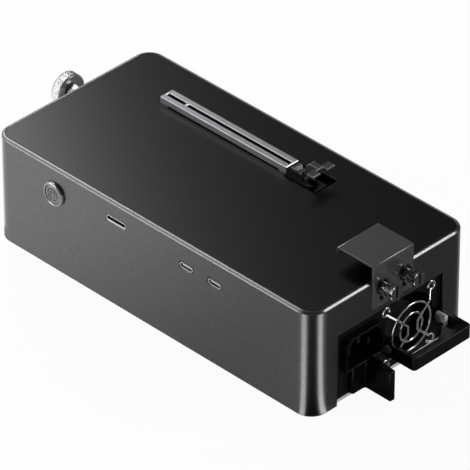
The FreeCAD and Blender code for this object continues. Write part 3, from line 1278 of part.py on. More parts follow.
def fan_rotor():
    start = FAN_BACK + 3.0
    cup = rod(Vec(start, FAN_Y, FAN_Z), X_AXIS, ROTOR_HUB_RADIUS, ROTOR_DEPTH)
    cup = cup.makeFillet(1.5, [edge for edge in cup.Edges
                               if abs(edge.BoundBox.XMin - start - ROTOR_DEPTH) < 1e-6])
    hollow = rod(Vec(start - 1, FAN_Y, FAN_Z), X_AXIS, ROTOR_HUB_RADIUS - HUB_WALL,
                 ROTOR_DEPTH - 1.5)
    shaft = rod(Vec(start + 1, FAN_Y, FAN_Z), X_AXIS, SHAFT_RADIUS, ROTOR_DEPTH - 2)
    blades = [blade(360.0 * index / BLADE_COUNT) for index in range(BLADE_COUNT)]
    keep = rod(Vec(start, FAN_Y, FAN_Z), X_AXIS, ROTOR_RADIUS, ROTOR_DEPTH)
    vanes = [vane.common(keep) for vane in blades]
    core = rod(Vec(start - 1, FAN_Y, FAN_Z), X_AXIS, ROTOR_HUB_RADIUS - HUB_WALL / 2,
               ROTOR_DEPTH + 2)
    vanes = [vane.cut(core) for vane in vanes]
    return fused([cup.cut(hollow), shaft] + vanes)


def bent_wire(points, bend, radius):
    edges = []
    start = points[0]
    for before, here, after in zip(points, points[1:], points[2:]):
        arrive = (here - before).normalize()
        leave = (after - here).normalize()
        turn = arrive.getAngle(leave)
        reach = bend * math.tan(turn / 2)
        first = here - arrive * reach
        last = here + leave * reach
        toward = (leave - arrive).normalize()
        centre = here + toward * (bend / math.cos(turn / 2))
        middle = centre - toward * bend
        edges.append(Part.LineSegment(start, first).toShape())
        edges.append(Part.Arc(first, middle, last).toShape())
        start = last
    edges.append(Part.LineSegment(start, points[-1]).toShape())
    path = Part.Wire(edges)
    heading = (points[1] - points[0]).normalize()
    profile = Part.Wire([Part.makeCircle(radius, points[0], heading)])
    return path.makePipeShell([profile], True, False)


def guard_arm(side):
    half = FAN_HOLE_SPACING / 2
    radius = GUARD_WIRE / 2
    low = PSU_FACE + radius
    high = low + GUARD_RISE
    root = half - GUARD_EYE_RADIUS / math.sqrt(2)
    shoulder = root - 2.6
    points = [Vec(low, side * root, root), Vec(high, side * shoulder, shoulder),
              Vec(high, side * GUARD_APEX_Y, GUARD_APEX_Z), Vec(high, side * GUARD_APEX_Y, -GUARD_APEX_Z),
              Vec(high, side * shoulder, -shoulder), Vec(low, side * root, -root)]
    wire = bent_wire(points, 1.2, radius)
    eyes = [Part.makeTorus(GUARD_EYE_RADIUS, radius, Vec(low, side * half, sz * half), X_AXIS)
            for sz in (-1, 1)]
    return fused([wire] + eyes)


def fan_guard():
    radius = GUARD_WIRE / 2
    plane = PSU_FACE + radius + GUARD_RISE - 0.8 * GUARD_WIRE
    rings = [Part.makeTorus(size, radius, Vec(plane, 0, 0), X_AXIS)
             for size in (GUARD_INNER_RADIUS, GUARD_OUTER_RADIUS)]
    guard = fused([guard_arm(-1), guard_arm(1)] + rings)
    guard.translate(Vec(0, FAN_Y, FAN_Z))
    return guard


def guard_screws():
    screws = []
    seat = PSU_FACE + GUARD_WIRE
    for y, z in guard_hole_places():
        cap = rod(Vec(seat, y, z), X_AXIS, GUARD_SCREW_HEAD, GUARD_SCREW_CAP)
        cap = cap.makeFillet(0.6, [edge for edge in cap.Edges
                                   if abs(edge.BoundBox.XMin - seat - GUARD_SCREW_CAP) < 1e-6])
        shank = rod(Vec(PSU_FACE - GUARD_SCREW_REACH, y, z), X_AXIS, SCREW_RADIUS,
                    GUARD_SCREW_REACH + GUARD_WIRE)
        screws.append(cap.fuse(shank).removeSplitter())
    return screws


def make_fan():
    save("fan_frame", fan_frame())
    save("fan_motor", fan_motor())
    save("fan_rotor", fan_rotor())
    save("fan_guard", fan_guard())
    save("guard_screws", *guard_screws())


make_shell()
make_boards()
make_slot()
make_front()
make_rest()
make_clamp()
make_supply()
make_fan()
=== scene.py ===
"""External graphics card enclosure: finishes, fine detail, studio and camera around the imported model.

Metres, in the model's own frame: +X towards the power supply end, +Y to the back, +Z up. Fine pieces
are drawn in millimetres and scaled by MM.
"""

import json
import math

import bmesh
import bpy
from mathutils import Matrix, Vector


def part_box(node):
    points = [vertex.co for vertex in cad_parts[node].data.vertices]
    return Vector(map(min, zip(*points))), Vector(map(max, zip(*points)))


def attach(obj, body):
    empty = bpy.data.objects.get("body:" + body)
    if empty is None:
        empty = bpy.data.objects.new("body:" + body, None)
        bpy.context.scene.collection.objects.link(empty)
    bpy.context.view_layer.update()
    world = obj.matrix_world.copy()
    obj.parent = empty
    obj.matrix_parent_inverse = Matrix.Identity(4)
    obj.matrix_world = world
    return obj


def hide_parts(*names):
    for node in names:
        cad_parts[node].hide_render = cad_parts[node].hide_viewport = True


MM = 0.001

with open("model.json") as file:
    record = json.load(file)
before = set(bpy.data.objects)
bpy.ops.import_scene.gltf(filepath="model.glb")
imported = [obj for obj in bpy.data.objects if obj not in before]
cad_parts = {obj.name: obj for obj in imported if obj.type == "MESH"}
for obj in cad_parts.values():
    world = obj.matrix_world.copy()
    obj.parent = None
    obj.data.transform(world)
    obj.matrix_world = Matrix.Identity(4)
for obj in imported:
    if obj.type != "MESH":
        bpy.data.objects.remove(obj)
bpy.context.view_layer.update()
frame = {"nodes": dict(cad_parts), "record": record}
SLOT_OF = {entry["node"]: entry["material_slot"] for entry in frame["record"]["subparts"]}


# Procedural finishes

def socket_label(key):
    """Label of a shader socket: coat_weight becomes Coat Weight."""
    return key.replace("_", " ").title().replace("Ior", "IOR")


def principled(material):
    return material.node_tree.nodes["Principled BSDF"]


def new_material(name, colour, metallic, roughness, **inputs):
    material = bpy.data.materials.new(name)
    material.use_nodes = True
    shader = principled(material)
    shader.inputs["Base Color"].default_value = (*colour, 1.0)
    shader.inputs["Metallic"].default_value = metallic
    shader.inputs["Roughness"].default_value = roughness
    for key, value in inputs.items():
        shader.inputs[socket_label(key)].default_value = value
    return material


def node(material, kind, **inputs):
    made = material.node_tree.nodes.new(kind)
    for key, value in inputs.items():
        made.inputs[socket_label(key)].default_value = value
    return made


def link(material, source, output, target, entry):
    material.node_tree.links.new(source.outputs[output], target.inputs[entry])


def surface_place(material, stretch=(1, 1, 1)):
    place = node(material, "ShaderNodeTexCoord")
    scaling = node(material, "ShaderNodeMapping", scale=stretch)
    link(material, place, "Object", scaling, "Vector")
    return scaling


def noise(material, grain, detail=3.0, stretch=(1, 1, 1)):
    """Cloudy texture whose grain is given in metres."""
    texture = node(material, "ShaderNodeTexNoise", scale=1.0 / grain, detail=detail, roughness=0.6)
    link(material, surface_place(material, stretch), "Vector", texture, "Vector")
    return texture


def vary_roughness(material, texture, low, high):
    spread = node(material, "ShaderNodeMapRange", from_min=0.15, from_max=0.85, to_min=low, to_max=high)
    link(material, texture, "Fac", spread, "Value")
    link(material, spread, "Result", principled(material), "Roughness")


def vary_colour(material, texture, output, positions, colours):
    ramp = node(material, "ShaderNodeValToRGB")
    for element, position, colour in zip(ramp.color_ramp.elements, positions, colours):
        element.position = position
        element.color = (*colour, 1.0)
    link(material, texture, output, ramp, "Fac")
    link(material, ramp, "Color", principled(material), "Base Color")


def mottle(material, texture, colour, darkest, lightest):
    """Soft patches between a darker and a lighter share of the colour."""
    vary_colour(material, texture, "Fac", (0.3, 0.7), (shade(colour, darkest), shade(colour, lightest)))


def add_bump(material, texture, height):
    bump = node(material, "ShaderNodeBump", strength=1.0, distance=height)
    link(material, texture, "Fac", bump, "Height")
    link(material, bump, "Normal", principled(material), "Normal")


def shade(colour, factor):
    return tuple(min(1.0, channel * factor) for channel in colour)


def anodised(name, colour, roughness, grain, relief, contrast=0.10):
    """Blasted and anodised aluminium: fine specks, each a little darker or lighter."""
    material = new_material(name, colour, 1.0, roughness)
    speck = noise(material, grain, detail=2.0)
    mottle(material, speck, colour, 1 - contrast, 1 + contrast)
    add_bump(material, speck, relief)
    return material


def powder_coat(name, colour, roughness, coat=0.6, gloss=0.5):
    material = new_material(name, colour, 0.0, roughness, coat_weight=coat, coat_roughness=0.18,
                            specular_ior_level=gloss)
    texture = noise(material, 0.45 * MM, detail=2.0)
    mottle(material, texture, colour, 0.85, 1.2)
    add_bump(material, texture, 0.02 * MM)
    return material


def moulded(name, colour, roughness, grain=0.5 * MM, gloss=0.5):
    """Moulded plastic or rubber: broad patches of tone under a fine skin."""
    material = new_material(name, colour, 0.0, roughness, specular_ior_level=gloss)
    mottle(material, noise(material, 6 * MM), colour, 0.85, 1.15)
    texture = noise(material, grain, detail=2.0)
    vary_roughness(material, texture, roughness - 0.05, roughness + 0.05)
    add_bump(material, texture, 0.012 * MM)
    return material


def plated(name, colour, roughness, stretch=(1, 1, 1), metallic=1.0):
    """Plated or bare metal; a stretch below 1 draws the marks out along that axis."""
    material = new_material(name, colour, metallic, roughness)
    texture = noise(material, 0.8 * MM, detail=4.0, stretch=stretch)
    mottle(material, texture, colour, 0.88, 1.08)
    vary_roughness(material, texture, roughness * 0.8, roughness * 1.25)
    add_bump(material, texture, 0.004 * MM)
    return material


def circuit_board(name, colour):
    """Lacquered board with a web of lighter tracks."""
    material = new_material(name, colour, 0.0, 0.35, coat_weight=0.3, coat_roughness=0.15)
    weave = node(material, "ShaderNodeTexVoronoi", scale=1.0 / (2.4 * MM))
    weave.distance = "MANHATTAN"
    link(material, surface_place(material), "Vector", weave, "Vector")
    vary_colour(material, weave, "Distance", (0.0, 1.0), (shade(colour, 1.5), shade(colour, 0.8)))
    add_bump(material, noise(material, 0.6 * MM), 0.01 * MM)
    return material


FINISH = {
    "shell_black": anodised("shell_black", (0.145, 0.146, 0.148), 0.28, grain=0.45 * MM,
                            relief=0.019 * MM, contrast=0.30),
    "plate_black": anodised("plate_black", (0.038, 0.0385, 0.0395), 0.27, grain=0.30 * MM,
                            relief=0.003 * MM, contrast=0.06),
    "sink_black": anodised("sink_black", (0.06, 0.06, 0.062), 0.40, grain=0.5 * MM, relief=0.01 * MM),
    "sheet_black": powder_coat("sheet_black", (0.040, 0.040, 0.041), 0.30),
    "plated_steel": plated("plated_steel", (0.78, 0.79, 0.80), 0.38),
    "slot_steel": plated("slot_steel", (0.38, 0.39, 0.40), 0.32, stretch=(0.15, 1, 1), metallic=0.75),
    "bright_wire": plated("bright_wire", (0.90, 0.90, 0.91), 0.20),
    "knurled_black": plated("knurled_black", (0.25, 0.252, 0.258), 0.14),
    "knurled_bright": plated("knurled_bright", (0.60, 0.61, 0.62), 0.30),
    "screw_black": plated("screw_black", (0.07, 0.07, 0.075), 0.35),
    "contact_gold": plated("contact_gold", (0.86, 0.66, 0.28), 0.22),
    "brass_plain": plated("brass_plain", (0.74, 0.60, 0.30), 0.28),
    "can_silver": plated("can_silver", (0.66, 0.67, 0.68), 0.30),
    # The base plate's pale matt tone is partly its own light grey and partly painted light: it is
    # lighter and less metallic than its aluminium, so the strip under the power supply reads bright.
    "base_grey": moulded("base_grey", (0.70, 0.71, 0.72), 0.45),
    "rubber_black": moulded("rubber_black", (0.018, 0.018, 0.018), 0.80),
    "connector_black": moulded("connector_black", (0.008, 0.008, 0.0085), 0.26),
    "inlet_black": moulded("inlet_black", (0.003, 0.003, 0.0033), 0.26, gloss=0.1),
    "lever_black": moulded("lever_black", (0.003, 0.003, 0.0033), 0.20, gloss=0.08),
    "fan_black": moulded("fan_black", (0.005, 0.005, 0.0055), 0.35, gloss=0.3),
    "sleeve_black": moulded("sleeve_black", (0.022, 0.022, 0.026), 0.22),
    "core_yellow": moulded("core_yellow", (0.50, 0.38, 0.10), 0.45, grain=1.5 * MM),
    "board_black": circuit_board("board_black", (0.012, 0.016, 0.014)),
    "board_green": circuit_board("board_green", (0.02, 0.11, 0.05)),
}

PORT_STEEL = plated("port_steel", (0.80, 0.80, 0.81), 0.25)
OWN_FINISH = {
    "card_rest": powder_coat("rest_black", (0.036, 0.036, 0.037), 0.28, coat=1.0, gloss=0.8),
    "psu_case": powder_coat("case_black", (0.004, 0.004, 0.0045), 0.40, coat=0.0, gloss=0.15),
    "pull_handle": moulded("handle_black", (0.003, 0.003, 0.0033), 0.20, gloss=0.22),
    "handle_clip": plated("clip_steel", (0.90, 0.90, 0.91), 0.40, metallic=0.4),
    "latch_base": moulded("latch_base_black", (0.004, 0.004, 0.0045), 0.35, gloss=0.15),
    "card_latch": moulded("latch_black", (0.04, 0.04, 0.041), 0.25, grain=0.3 * MM),
    # Painted shade: the nickel pins get a dark tone that stands in for the shade of the inlet's recess
    "inlet_pins": plated("pin_nickel_painted_shade", (0.10, 0.10, 0.105), 0.35),
    "button_bezel": anodised("bezel_grey", (0.28, 0.28, 0.285), 0.22, grain=0.30 * MM,
                             relief=0.002 * MM),
    "button_cap": anodised("cap_black", (0.22, 0.221, 0.223), 0.28, grain=0.30 * MM, relief=0.003 * MM),
    "usb_c_port_1": PORT_STEEL,
    "usb_c_port_2": PORT_STEEL,
    "usb_c_tongues": PORT_STEEL,
    "data_port": PORT_STEEL,
}


def finish_of(name):
    return OWN_FINISH.get(name) or FINISH[SLOT_OF[name]]


# Carried-over pieces: finish and broken edges, with each edge's width in millimetres, and a painted
# highlight on the bevels of some

SOFT_EDGE = {
    "top_plate": 0.12, "base_plate": 0.12, "card_rest": 0.18, "slot_body": 0.06, "psu_case": 0.15,
    "handle_clip": 0.12, "fan_frame": 0.25, "main_board": 0.1, "slot_board": 0.1, "data_port": 0.08,
    "button_nut": 0.2,
}
CHAMFER = {
    "housing": 0.25, "slot_shell": 0.20, "latch_base": 0.15, "card_latch": 0.18, "power_inlet": 0.10,
    "release_lever": 0.25, "pull_handle": 0.28,
}
# Painted highlight: the bevel faces of these pieces take a lighter second finish, so their edges show
# as a bright line. The parts themselves have no such colour there.
PAINTED_EDGE_HIGHLIGHT = {
    "slot_shell": plated("slot_edge", (0.56, 0.57, 0.58), 0.28),
    "card_latch": moulded("latch_edge_painted_highlight", (0.22, 0.22, 0.225), 0.25, grain=0.3 * MM),
}
CREASE = math.radians(28)
FLAT_ENOUGH = math.radians(0.5)
SAME_POINT = 0.002 * MM


def soften(piece, width, segments):
    """Rounded edges, or with a single segment flat chamfers that catch the light as a line."""
    weld = piece.modifiers.new("weld", "WELD")
    weld.merge_threshold = SAME_POINT
    flat = piece.modifiers.new("flat", "DECIMATE")
    flat.decimate_type = "DISSOLVE"
    flat.angle_limit = FLAT_ENOUGH
    bevel = piece.modifiers.new("edges", "BEVEL")
    bevel.width = width * MM
    bevel.segments = segments
    bevel.limit_method = "ANGLE"
    bevel.angle_limit = CREASE
    bevel.harden_normals = segments > 1
    if segments == 1:
        bevel.use_clamp_overlap = False
        bevel.mark_sharp = True
        normals = piece.modifiers.new("normals", "WEIGHTED_NORMAL")
        normals.keep_sharp = True


def dress(name, piece):
    piece.data.materials.clear()
    piece.data.materials.append(finish_of(name))
    if name in SOFT_EDGE:
        soften(piece, SOFT_EDGE[name], 3)
    if name in CHAMFER:
        soften(piece, CHAMFER[name], 1)
    # Painted highlight: the lighter edge finish goes on the bevel faces as a second material
    if name in PAINTED_EDGE_HIGHLIGHT:
        piece.data.materials.append(PAINTED_EDGE_HIGHLIGHT[name])
        piece.modifiers["edges"].material = 1


for name, piece in frame["nodes"].items():
    dress(name, piece)


# Fine pieces that stand for plainer solids

def bridge(mesh, rings, closed=False):
    """Skin between rings of the same number of points, with end caps unless the rings close up."""
    pairs = list(zip(rings, rings[1:]))
    if closed:
        pairs.append((rings[-1], rings[0]))
    for first, second in pairs:
        for step in range(len(first)):
            after = (step + 1) % len(first)
            mesh.faces.new((first[step], first[after], second[after], second[step]))
    if not closed:
        mesh.faces.new(rings[0][::-1])
        mesh.faces.new(rings[-1])


def turned(mesh, origin, axis, profile, steps, relief=None):
    """Surface of revolution: profile gives (distance along the axis, radius), and relief adds to the
    radius at a (distance, angle)."""
    origin, axis = Vector(origin), Vector(axis)
    side = Vector((0, 0, 1))
    other = axis.cross(side)
    rings = []
    for distance, radius in profile:
        ring = []
        for step in range(steps):
            turn = 2 * math.pi * step / steps
            reach = radius + (relief(distance, turn) if relief else 0.0)
            spoke = (other * math.cos(turn) + side * math.sin(turn)) * reach
            ring.append(mesh.verts.new((origin + axis * distance + spoke) * MM))
        rings.append(ring)
    bridge(mesh, rings)


def extruded(mesh, outline, place, depth, edge):
    """Plate with a chamfered face: place turns (distance, u, v) into a point."""
    middle_u = sum(u for u, _ in outline) / len(outline)
    middle_v = sum(v for _, v in outline) / len(outline)
    rings = []
    for distance, inset in ((0, 0), (depth - edge, 0), (depth, edge)):
        ring = []
        for u, v in outline:
            keep = 1 - inset / math.hypot(u - middle_u, v - middle_v)
            point = place(distance, middle_u + (u - middle_u) * keep, middle_v + (v - middle_v) * keep)
            ring.append(mesh.verts.new(point * MM))
        rings.append(ring)
    bridge(mesh, rings)


def tube(mesh, points, radius, closed=False):
    """Round wire along a line of points."""
    sides = 14
    points = [Vector(point) for point in points]
    count = len(points)
    across = None
    rings = []
    for index, point in enumerate(points):
        before = points[index - 1] if index or closed else point
        after = points[(index + 1) % count] if index < count - 1 or closed else point
        heading = (after - before).normalized()
        if across is None:
            across = heading.orthogonal()
        across = (across - heading * across.dot(heading)).normalized()
        upward = heading.cross(across)
        ring = []
        for step in range(sides):
            turn = 2 * math.pi * step / sides
            spoke = across * math.cos(turn) + upward * math.sin(turn)
            ring.append(mesh.verts.new((point + spoke * radius) * MM))
        rings.append(ring)
    bridge(mesh, rings, closed)


def add_piece(name, mesh, body, *replaced):
    """Object for a finished mesh, with smooth faces between the creases."""
    bmesh.ops.recalc_face_normals(mesh, faces=mesh.faces)
    for face in mesh.faces:
        face.smooth = True
    for edge in mesh.edges:
        edge.smooth = len(edge.link_faces) == 2 and edge.calc_face_angle(0.0) < CREASE
    data = bpy.data.meshes.new(name)
    mesh.to_mesh(data)
    mesh.free()
    piece = bpy.data.objects.new(name, data)
    bpy.context.scene.collection.objects.link(piece)
    data.materials.append(finish_of(replaced[0]))
    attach(piece, body)
    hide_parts(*replaced)
    return piece


def box_mm(name):
    low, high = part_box(name)
    return Vector(low) / MM, Vector(high) / MM


KNURL_DEPTH = 0.22
KNURL_WIDTH = 0.32


def knurl(start, end, radius, count):
    """Diamond knurling between two distances along the axis: its relief, and the rows that carry it."""
    pitch = 2 * math.pi * radius / count
    rows_per_pitch = 6

    def groove(place):
        return max(0.0, 1 - abs(place % 1.0 - 0.5) / KNURL_WIDTH)

    def relief(distance, turn):
        if not start < distance < end:
            return 0.0
        along = (distance - start) / pitch
        around = turn * count / (2 * math.pi)
        return -KNURL_DEPTH * max(groove(around + along), groove(around - along))

    rows = int((end - start) / pitch * rows_per_pitch)
    return relief, [(start + (end - start) * row / rows, radius) for row in range(rows + 1)]


def thumbscrew(name):
    """Thumbscrew with a plain collar, a knurled grip and a screwdriver slot across its end."""
    slot_depth, slot_half_width, slot_edge = 1.3, 0.5, 0.35
    shank_radius = 1.5
    low, high = box_mm(name)
    washer_low, washer_high = box_mm(name.replace("thumbscrew", "washer"))
    middle = (low + high) / 2
    radius = (high.z - low.z) / 2
    base = washer_high.x + 0.05
    origin = Vector((base, middle.y, middle.z))
    slot_floor = high.x - base - slot_depth

    relief, rows = knurl(3.6, slot_floor - 0.7, radius, 40)
    collar = [(0, radius - 1.1), (0.2, radius - 0.8), (2.9, radius - 0.8), (2.95, radius - 0.5),
              (3.25, radius - 0.35)]
    rim = [(slot_floor - 0.6, radius - 0.35), (slot_floor - 0.45, radius - 0.1),
           (slot_floor, radius - 0.05)]
    mesh = bmesh.new()
    turned(mesh, origin, (1, 0, 0), collar + rows + rim, 240, relief)

    def on_end(distance, u, v):
        return origin + Vector((slot_floor + distance, u, v))

    outer = radius - 0.05
    bound = math.acos(slot_half_width / outer)
    arc = [-bound + 2 * bound * step / 30 for step in range(31)]
    for side in (-1, 1):
        outline = [(side * outer * math.cos(turn), outer * math.sin(turn)) for turn in arc]
        extruded(mesh, outline, on_end, slot_depth, slot_edge)

    shank = (washer_low.x + washer_high.x) / 2 - low.x + 1
    tip = [(0, shank_radius - 0.3), (0.4, shank_radius)]
    turned(mesh, (low.x, middle.y, middle.z), (1, 0, 0), tip + [(shank, shank_radius)], 32)
    add_piece(name + "_knurled", mesh, name, name)


def clamp_knob():
    """Knurled clamp knob with a dished face towards the end wall."""
    stud_radius = 2.0
    low, high = box_mm("clamp_knob")
    middle = (low + high) / 2
    radius = (high.z - low.z) / 2
    post_low, _ = box_mm("clamp_post")
    face = post_low.x - 1.0
    length = face - low.x
    relief, rows = knurl(0.75, length - 0.75, radius, 50)
    inner_rim = [(-0.02, radius - 1.3), (0.0, radius - 0.6), (0.5, radius - 0.1)]
    outer_rim = [(length - 0.5, radius - 0.1), (length, radius - 0.6), (length - 0.3, radius - 1.6),
                 (length - 0.3, 1.0)]
    mesh = bmesh.new()
    turned(mesh, (face, middle.y, middle.z), (-1, 0, 0), inner_rim + rows + outer_rim, 324, relief)
    stud = [(0, stud_radius), (high.x - face + 1, stud_radius)]
    turned(mesh, (face - 1, middle.y, middle.z), (1, 0, 0), stud, 32)
    add_piece("clamp_knob_knurled", mesh, "clamp_knob", "clamp_knob")


def rounded(first, second):
    """Quarter round between two (distance, radius) ends, bulging outwards."""
    steps = 6
    return [(first[0] + (second[0] - first[0]) * math.sin(turn),
             second[1] + (first[1] - second[1]) * math.cos(turn))
            for turn in (math.pi / 2 * step / steps for step in range(steps + 1))]


def button_bezel():
    """Domed bezel with a collar against the wall and an open bore for the cap."""
    wall = box_mm("housing")[0].y
    low, high = box_mm("button_bezel")
    cap_low, cap_high = box_mm("button_cap")
    middle = (low + high) / 2
    proud = wall - low.y
    outer = (high.x - low.x) / 2
    barrel = outer - 1.0
    bore = (cap_high.x - cap_low.x) / 2 + 0.1
    bore_depth = 4.0
    profile = [(wall - high.y, barrel), (0.0, barrel), (0.0, outer - 0.25), (0.25, outer)]
    profile += rounded((proud - 1.35, outer), (proud, bore + 0.35))
    profile += [(proud - 0.15, bore), (proud - bore_depth, bore)]
    mesh = bmesh.new()
    turned(mesh, (middle.x, wall, middle.z), (0, -1, 0), profile, 96)
    add_piece("button_bezel_round", mesh, "enclosure", "button_bezel")


def button_cap():
    """Cap with a rounded rim and two ring grooves in its face."""
    groove_radii = (3.3, 1.7)
    groove_depth, groove_mouth, groove_floor = 0.5, 0.38, 0.12
    wall = box_mm("housing")[0].y
    bezel_low, bezel_high = box_mm("button_bezel")
    low, high = box_mm("button_cap")
    middle = (bezel_low + bezel_high) / 2
    radius = (high.x - low.x) / 2
    front = wall - low.y
    profile = [(wall - high.y, radius)] + rounded((front - 0.5, radius), (front, radius - 0.6))
    for ring in groove_radii:
        profile += [(front, ring + groove_mouth), (front - groove_depth, ring + groove_floor),
                    (front - groove_depth, ring - groove_floor), (front, ring - groove_mouth)]
    profile += [(front - 0.05, 0.6)]
    mesh = bmesh.new()
    turned(mesh, (middle.x, wall, middle.z), (0, -1, 0), profile, 96)
    add_piece("button_cap_rings", mesh, "power_button", "button_cap")


def bent(points, bend):
    """Line through the points with each corner rounded to a radius."""
    line = [Vector(points[0])]
    for before, here, after in zip(points, points[1:], points[2:]):
        before, here, after = Vector(before), Vector(here), Vector(after)
        arrive = (here - before).normalized()
        leave = (after - here).normalized()
        turn = arrive.angle(leave)
        reach = bend * math.tan(turn / 2)
        toward = (leave - arrive).normalized()
        centre = here + toward * (bend / math.cos(turn / 2))
        first = here - arrive * reach - centre
        normal = arrive.cross(leave).normalized()
        for step in range(9):
            line.append(centre + Matrix.Rotation(turn * step / 8, 3, normal) @ first)
    line.append(Vector(points[-1]))
    return line


FAN_HOLE_HALF_SPACING = 16.0


def fan_guard():
    """Two bent wires that hook around the four screws, welded to two rings."""
    wire_radius = 0.675
    bend = 0.7
    eye_radius = 2.4
    hook_turn = math.radians(300)
    ring_radii = (7.9, 13.7)
    apex = Vector((3.4, 2.6))
    low, high = box_mm("fan_guard")
    middle = (low + high) / 2
    flat, raised = low.x + wire_radius, high.x - wire_radius
    half = FAN_HOLE_HALF_SPACING

    to_apex = apex - Vector((half, half))
    start = math.atan2(to_apex.y, to_apex.x) + math.radians(25)
    neck = Vector((half + eye_radius * math.cos(start), half + eye_radius * math.sin(start)))
    shoulder = neck.lerp(apex, 0.3)
    turns = [start + hook_turn * step / 28 for step in range(29)]
    mesh = bmesh.new()
    for side in (-1, 1):
        upper, lower = ([Vector((flat, side * (half + eye_radius * math.cos(turn)),
                                 up * (half + eye_radius * math.sin(turn)))) for turn in turns]
                        for up in (1, -1))
        arm = [upper[0], (raised, side * shoulder.x, shoulder.y), (raised, side * apex.x, apex.y),
               (raised, side * apex.x, -apex.y), (raised, side * shoulder.x, -shoulder.y), lower[0]]
        whole = upper[:0:-1] + bent([upper[2]] + arm + [lower[2]], bend)[1:-1] + lower[3:]
        tube(mesh, [point + Vector((0, middle.y, middle.z)) for point in whole], wire_radius)

    plane = raised - 0.8 * 2 * wire_radius
    turns = [2 * math.pi * step / 90 for step in range(90)]
    for radius in ring_radii:
        ring = [(plane, middle.y + radius * math.cos(turn), middle.z + radius * math.sin(turn))
                for turn in turns]
        tube(mesh, ring, wire_radius, closed=True)
    add_piece("fan_guard_wire", mesh, "power_supply", "fan_guard")


def guard_screw_heads():
    """Low round heads with a recess, inside the four hooks of the guard."""
    profile = [(0, 1.5), (1.5, 1.7), (1.8, 1.5), (2.0, 0.9), (1.5, 0.7)]
    low, high = box_mm("fan_guard")
    middle = (low + high) / 2
    mesh = bmesh.new()
    for y in (-FAN_HOLE_HALF_SPACING, FAN_HOLE_HALF_SPACING):
        for z in (-FAN_HOLE_HALF_SPACING, FAN_HOLE_HALF_SPACING):
            turned(mesh, (low.x - 1.0, middle.y + y, middle.z + z), (1, 0, 0), profile, 32)
    add_piece("guard_screws_round", mesh, "power_supply", "guard_screws")


thumbscrew("thumbscrew_left")
thumbscrew("thumbscrew_right")
clamp_knob()
button_bezel()
button_cap()
fan_guard()
guard_screw_heads()


# Studio

def area_light(name, place, aim, width, height, radiance, mirrored=True):
    """Rectangular lamp whose brightness doesn't depend on its size."""
    data = bpy.data.lights.new(name, "AREA")
    data.shape = "RECTANGLE"
    data.size = width
    data.size_y = height
    data.energy = radiance * math.pi * width * height
    lamp = bpy.data.objects.new(name, data)
    lamp.location = place
    lamp.visible_camera = False
    lamp.visible_glossy = mirrored
    lamp.rotation_euler = (Vector(aim) - Vector(place)).to_track_quat("-Z", "Y").to_euler()
    bpy.context.scene.collection.objects.link(lamp)


def lamps():
    area_light("front_left", (-0.62, -0.70, 0.72), (0, -0.05, 0.06), 0.7, 0.7, 1.2)
    area_light("back_left", (-0.68, 0.20, 0.60), (-0.10, 0, 0.06), 0.5, 0.5, 4.5)
    area_light("back_right", (0.866, 0.75, 0.81), (0.112, 0, 0.064), 0.45, 0.45, 8.0)
    area_light("left_wall", (-1.5, 0.0, 0.9), (0, 0, 0.1), 2.0, 1.2, 1.2)
    area_light("left_horizon", (-1.3, -0.2, 0.13), (0, 0, 0.06), 0.9, 0.22, 1.8)
    area_light("top_left", (-0.70, 0.01, 1.05), (0, 0, 0.06), 0.3, 0.3, 6.0)
    area_light("low_front", (-0.80, -1.05, 0.24), (0, 0, 0.06), 1.0, 0.42, 6.0)
    area_light("low_right", (0.75, -0.15, 0.12), (0.112, 0, 0.02), 0.5, 0.2, 6.0, mirrored=False)


def seen_share(tree, straight, mirrored):
    """Share of the plain white background for the camera, through glass and in mirrors."""
    path = tree.nodes.new("ShaderNodeLightPath")
    total = None
    for ray, share in (("Is Camera Ray", straight), ("Is Transmission Ray", straight),
                       ("Is Glossy Ray", mirrored)):
        part = tree.nodes.new("ShaderNodeMath")
        part.operation = "MULTIPLY_ADD"
        part.use_clamp = True
        part.inputs[1].default_value = share
        part.inputs[2].default_value = 0.0
        tree.links.new(path.outputs[ray], part.inputs[0])
        if total:
            tree.links.new(total, part.inputs[2])
        total = part.outputs["Value"]
    return total


def backdrop():
    """White all around for the camera, and a faint even light for the object."""
    world = bpy.data.worlds.new("studio")
    bpy.context.scene.world = world
    world.use_nodes = True
    tree = world.node_tree
    ambient = tree.nodes["Background"]
    ambient.inputs["Color"].default_value = (1.0, 1.0, 1.0, 1.0)
    ambient.inputs["Strength"].default_value = 0.04
    white = tree.nodes.new("ShaderNodeBackground")
    white.inputs["Color"].default_value = (1.0, 1.0, 1.0, 1.0)
    mix = tree.nodes.new("ShaderNodeMixShader")
    tree.links.new(seen_share(tree, straight=1.0, mirrored=0.06), mix.inputs["Fac"])
    tree.links.new(ambient.outputs["Background"], mix.inputs[1])
    tree.links.new(white.outputs["Background"], mix.inputs[2])
    tree.links.new(mix.outputs["Shader"], tree.nodes["World Output"].inputs["Surface"])


def floor():
    """Matt floor that keeps the object's shadow, nearly white to the camera."""
    half = 3.0
    mesh = bpy.data.meshes.new("floor")
    mesh.from_pydata([(-half, -half, 0), (half, -half, 0), (half, half, 0), (-half, half, 0)], [],
                     [(0, 1, 2, 3)])
    ground = bpy.data.objects.new("floor", mesh)
    bpy.context.scene.collection.objects.link(ground)
    material = bpy.data.materials.new("floor_white")
    material.use_nodes = True
    tree = material.node_tree
    tree.nodes.remove(principled(material))
    matt = tree.nodes.new("ShaderNodeBsdfDiffuse")
    matt.inputs["Color"].default_value = (0.8, 0.8, 0.8, 1.0)
    glow = tree.nodes.new("ShaderNodeEmission")
    mix = tree.nodes.new("ShaderNodeMixShader")
    tree.links.new(seen_share(tree, straight=0.95, mirrored=0.05), mix.inputs["Fac"])
    tree.links.new(matt.outputs["BSDF"], mix.inputs[1])
    tree.links.new(glow.outputs["Emission"], mix.inputs[2])
    tree.links.new(mix.outputs["Shader"], tree.nodes["Material Output"].inputs["Surface"])
    mesh.materials.append(material)


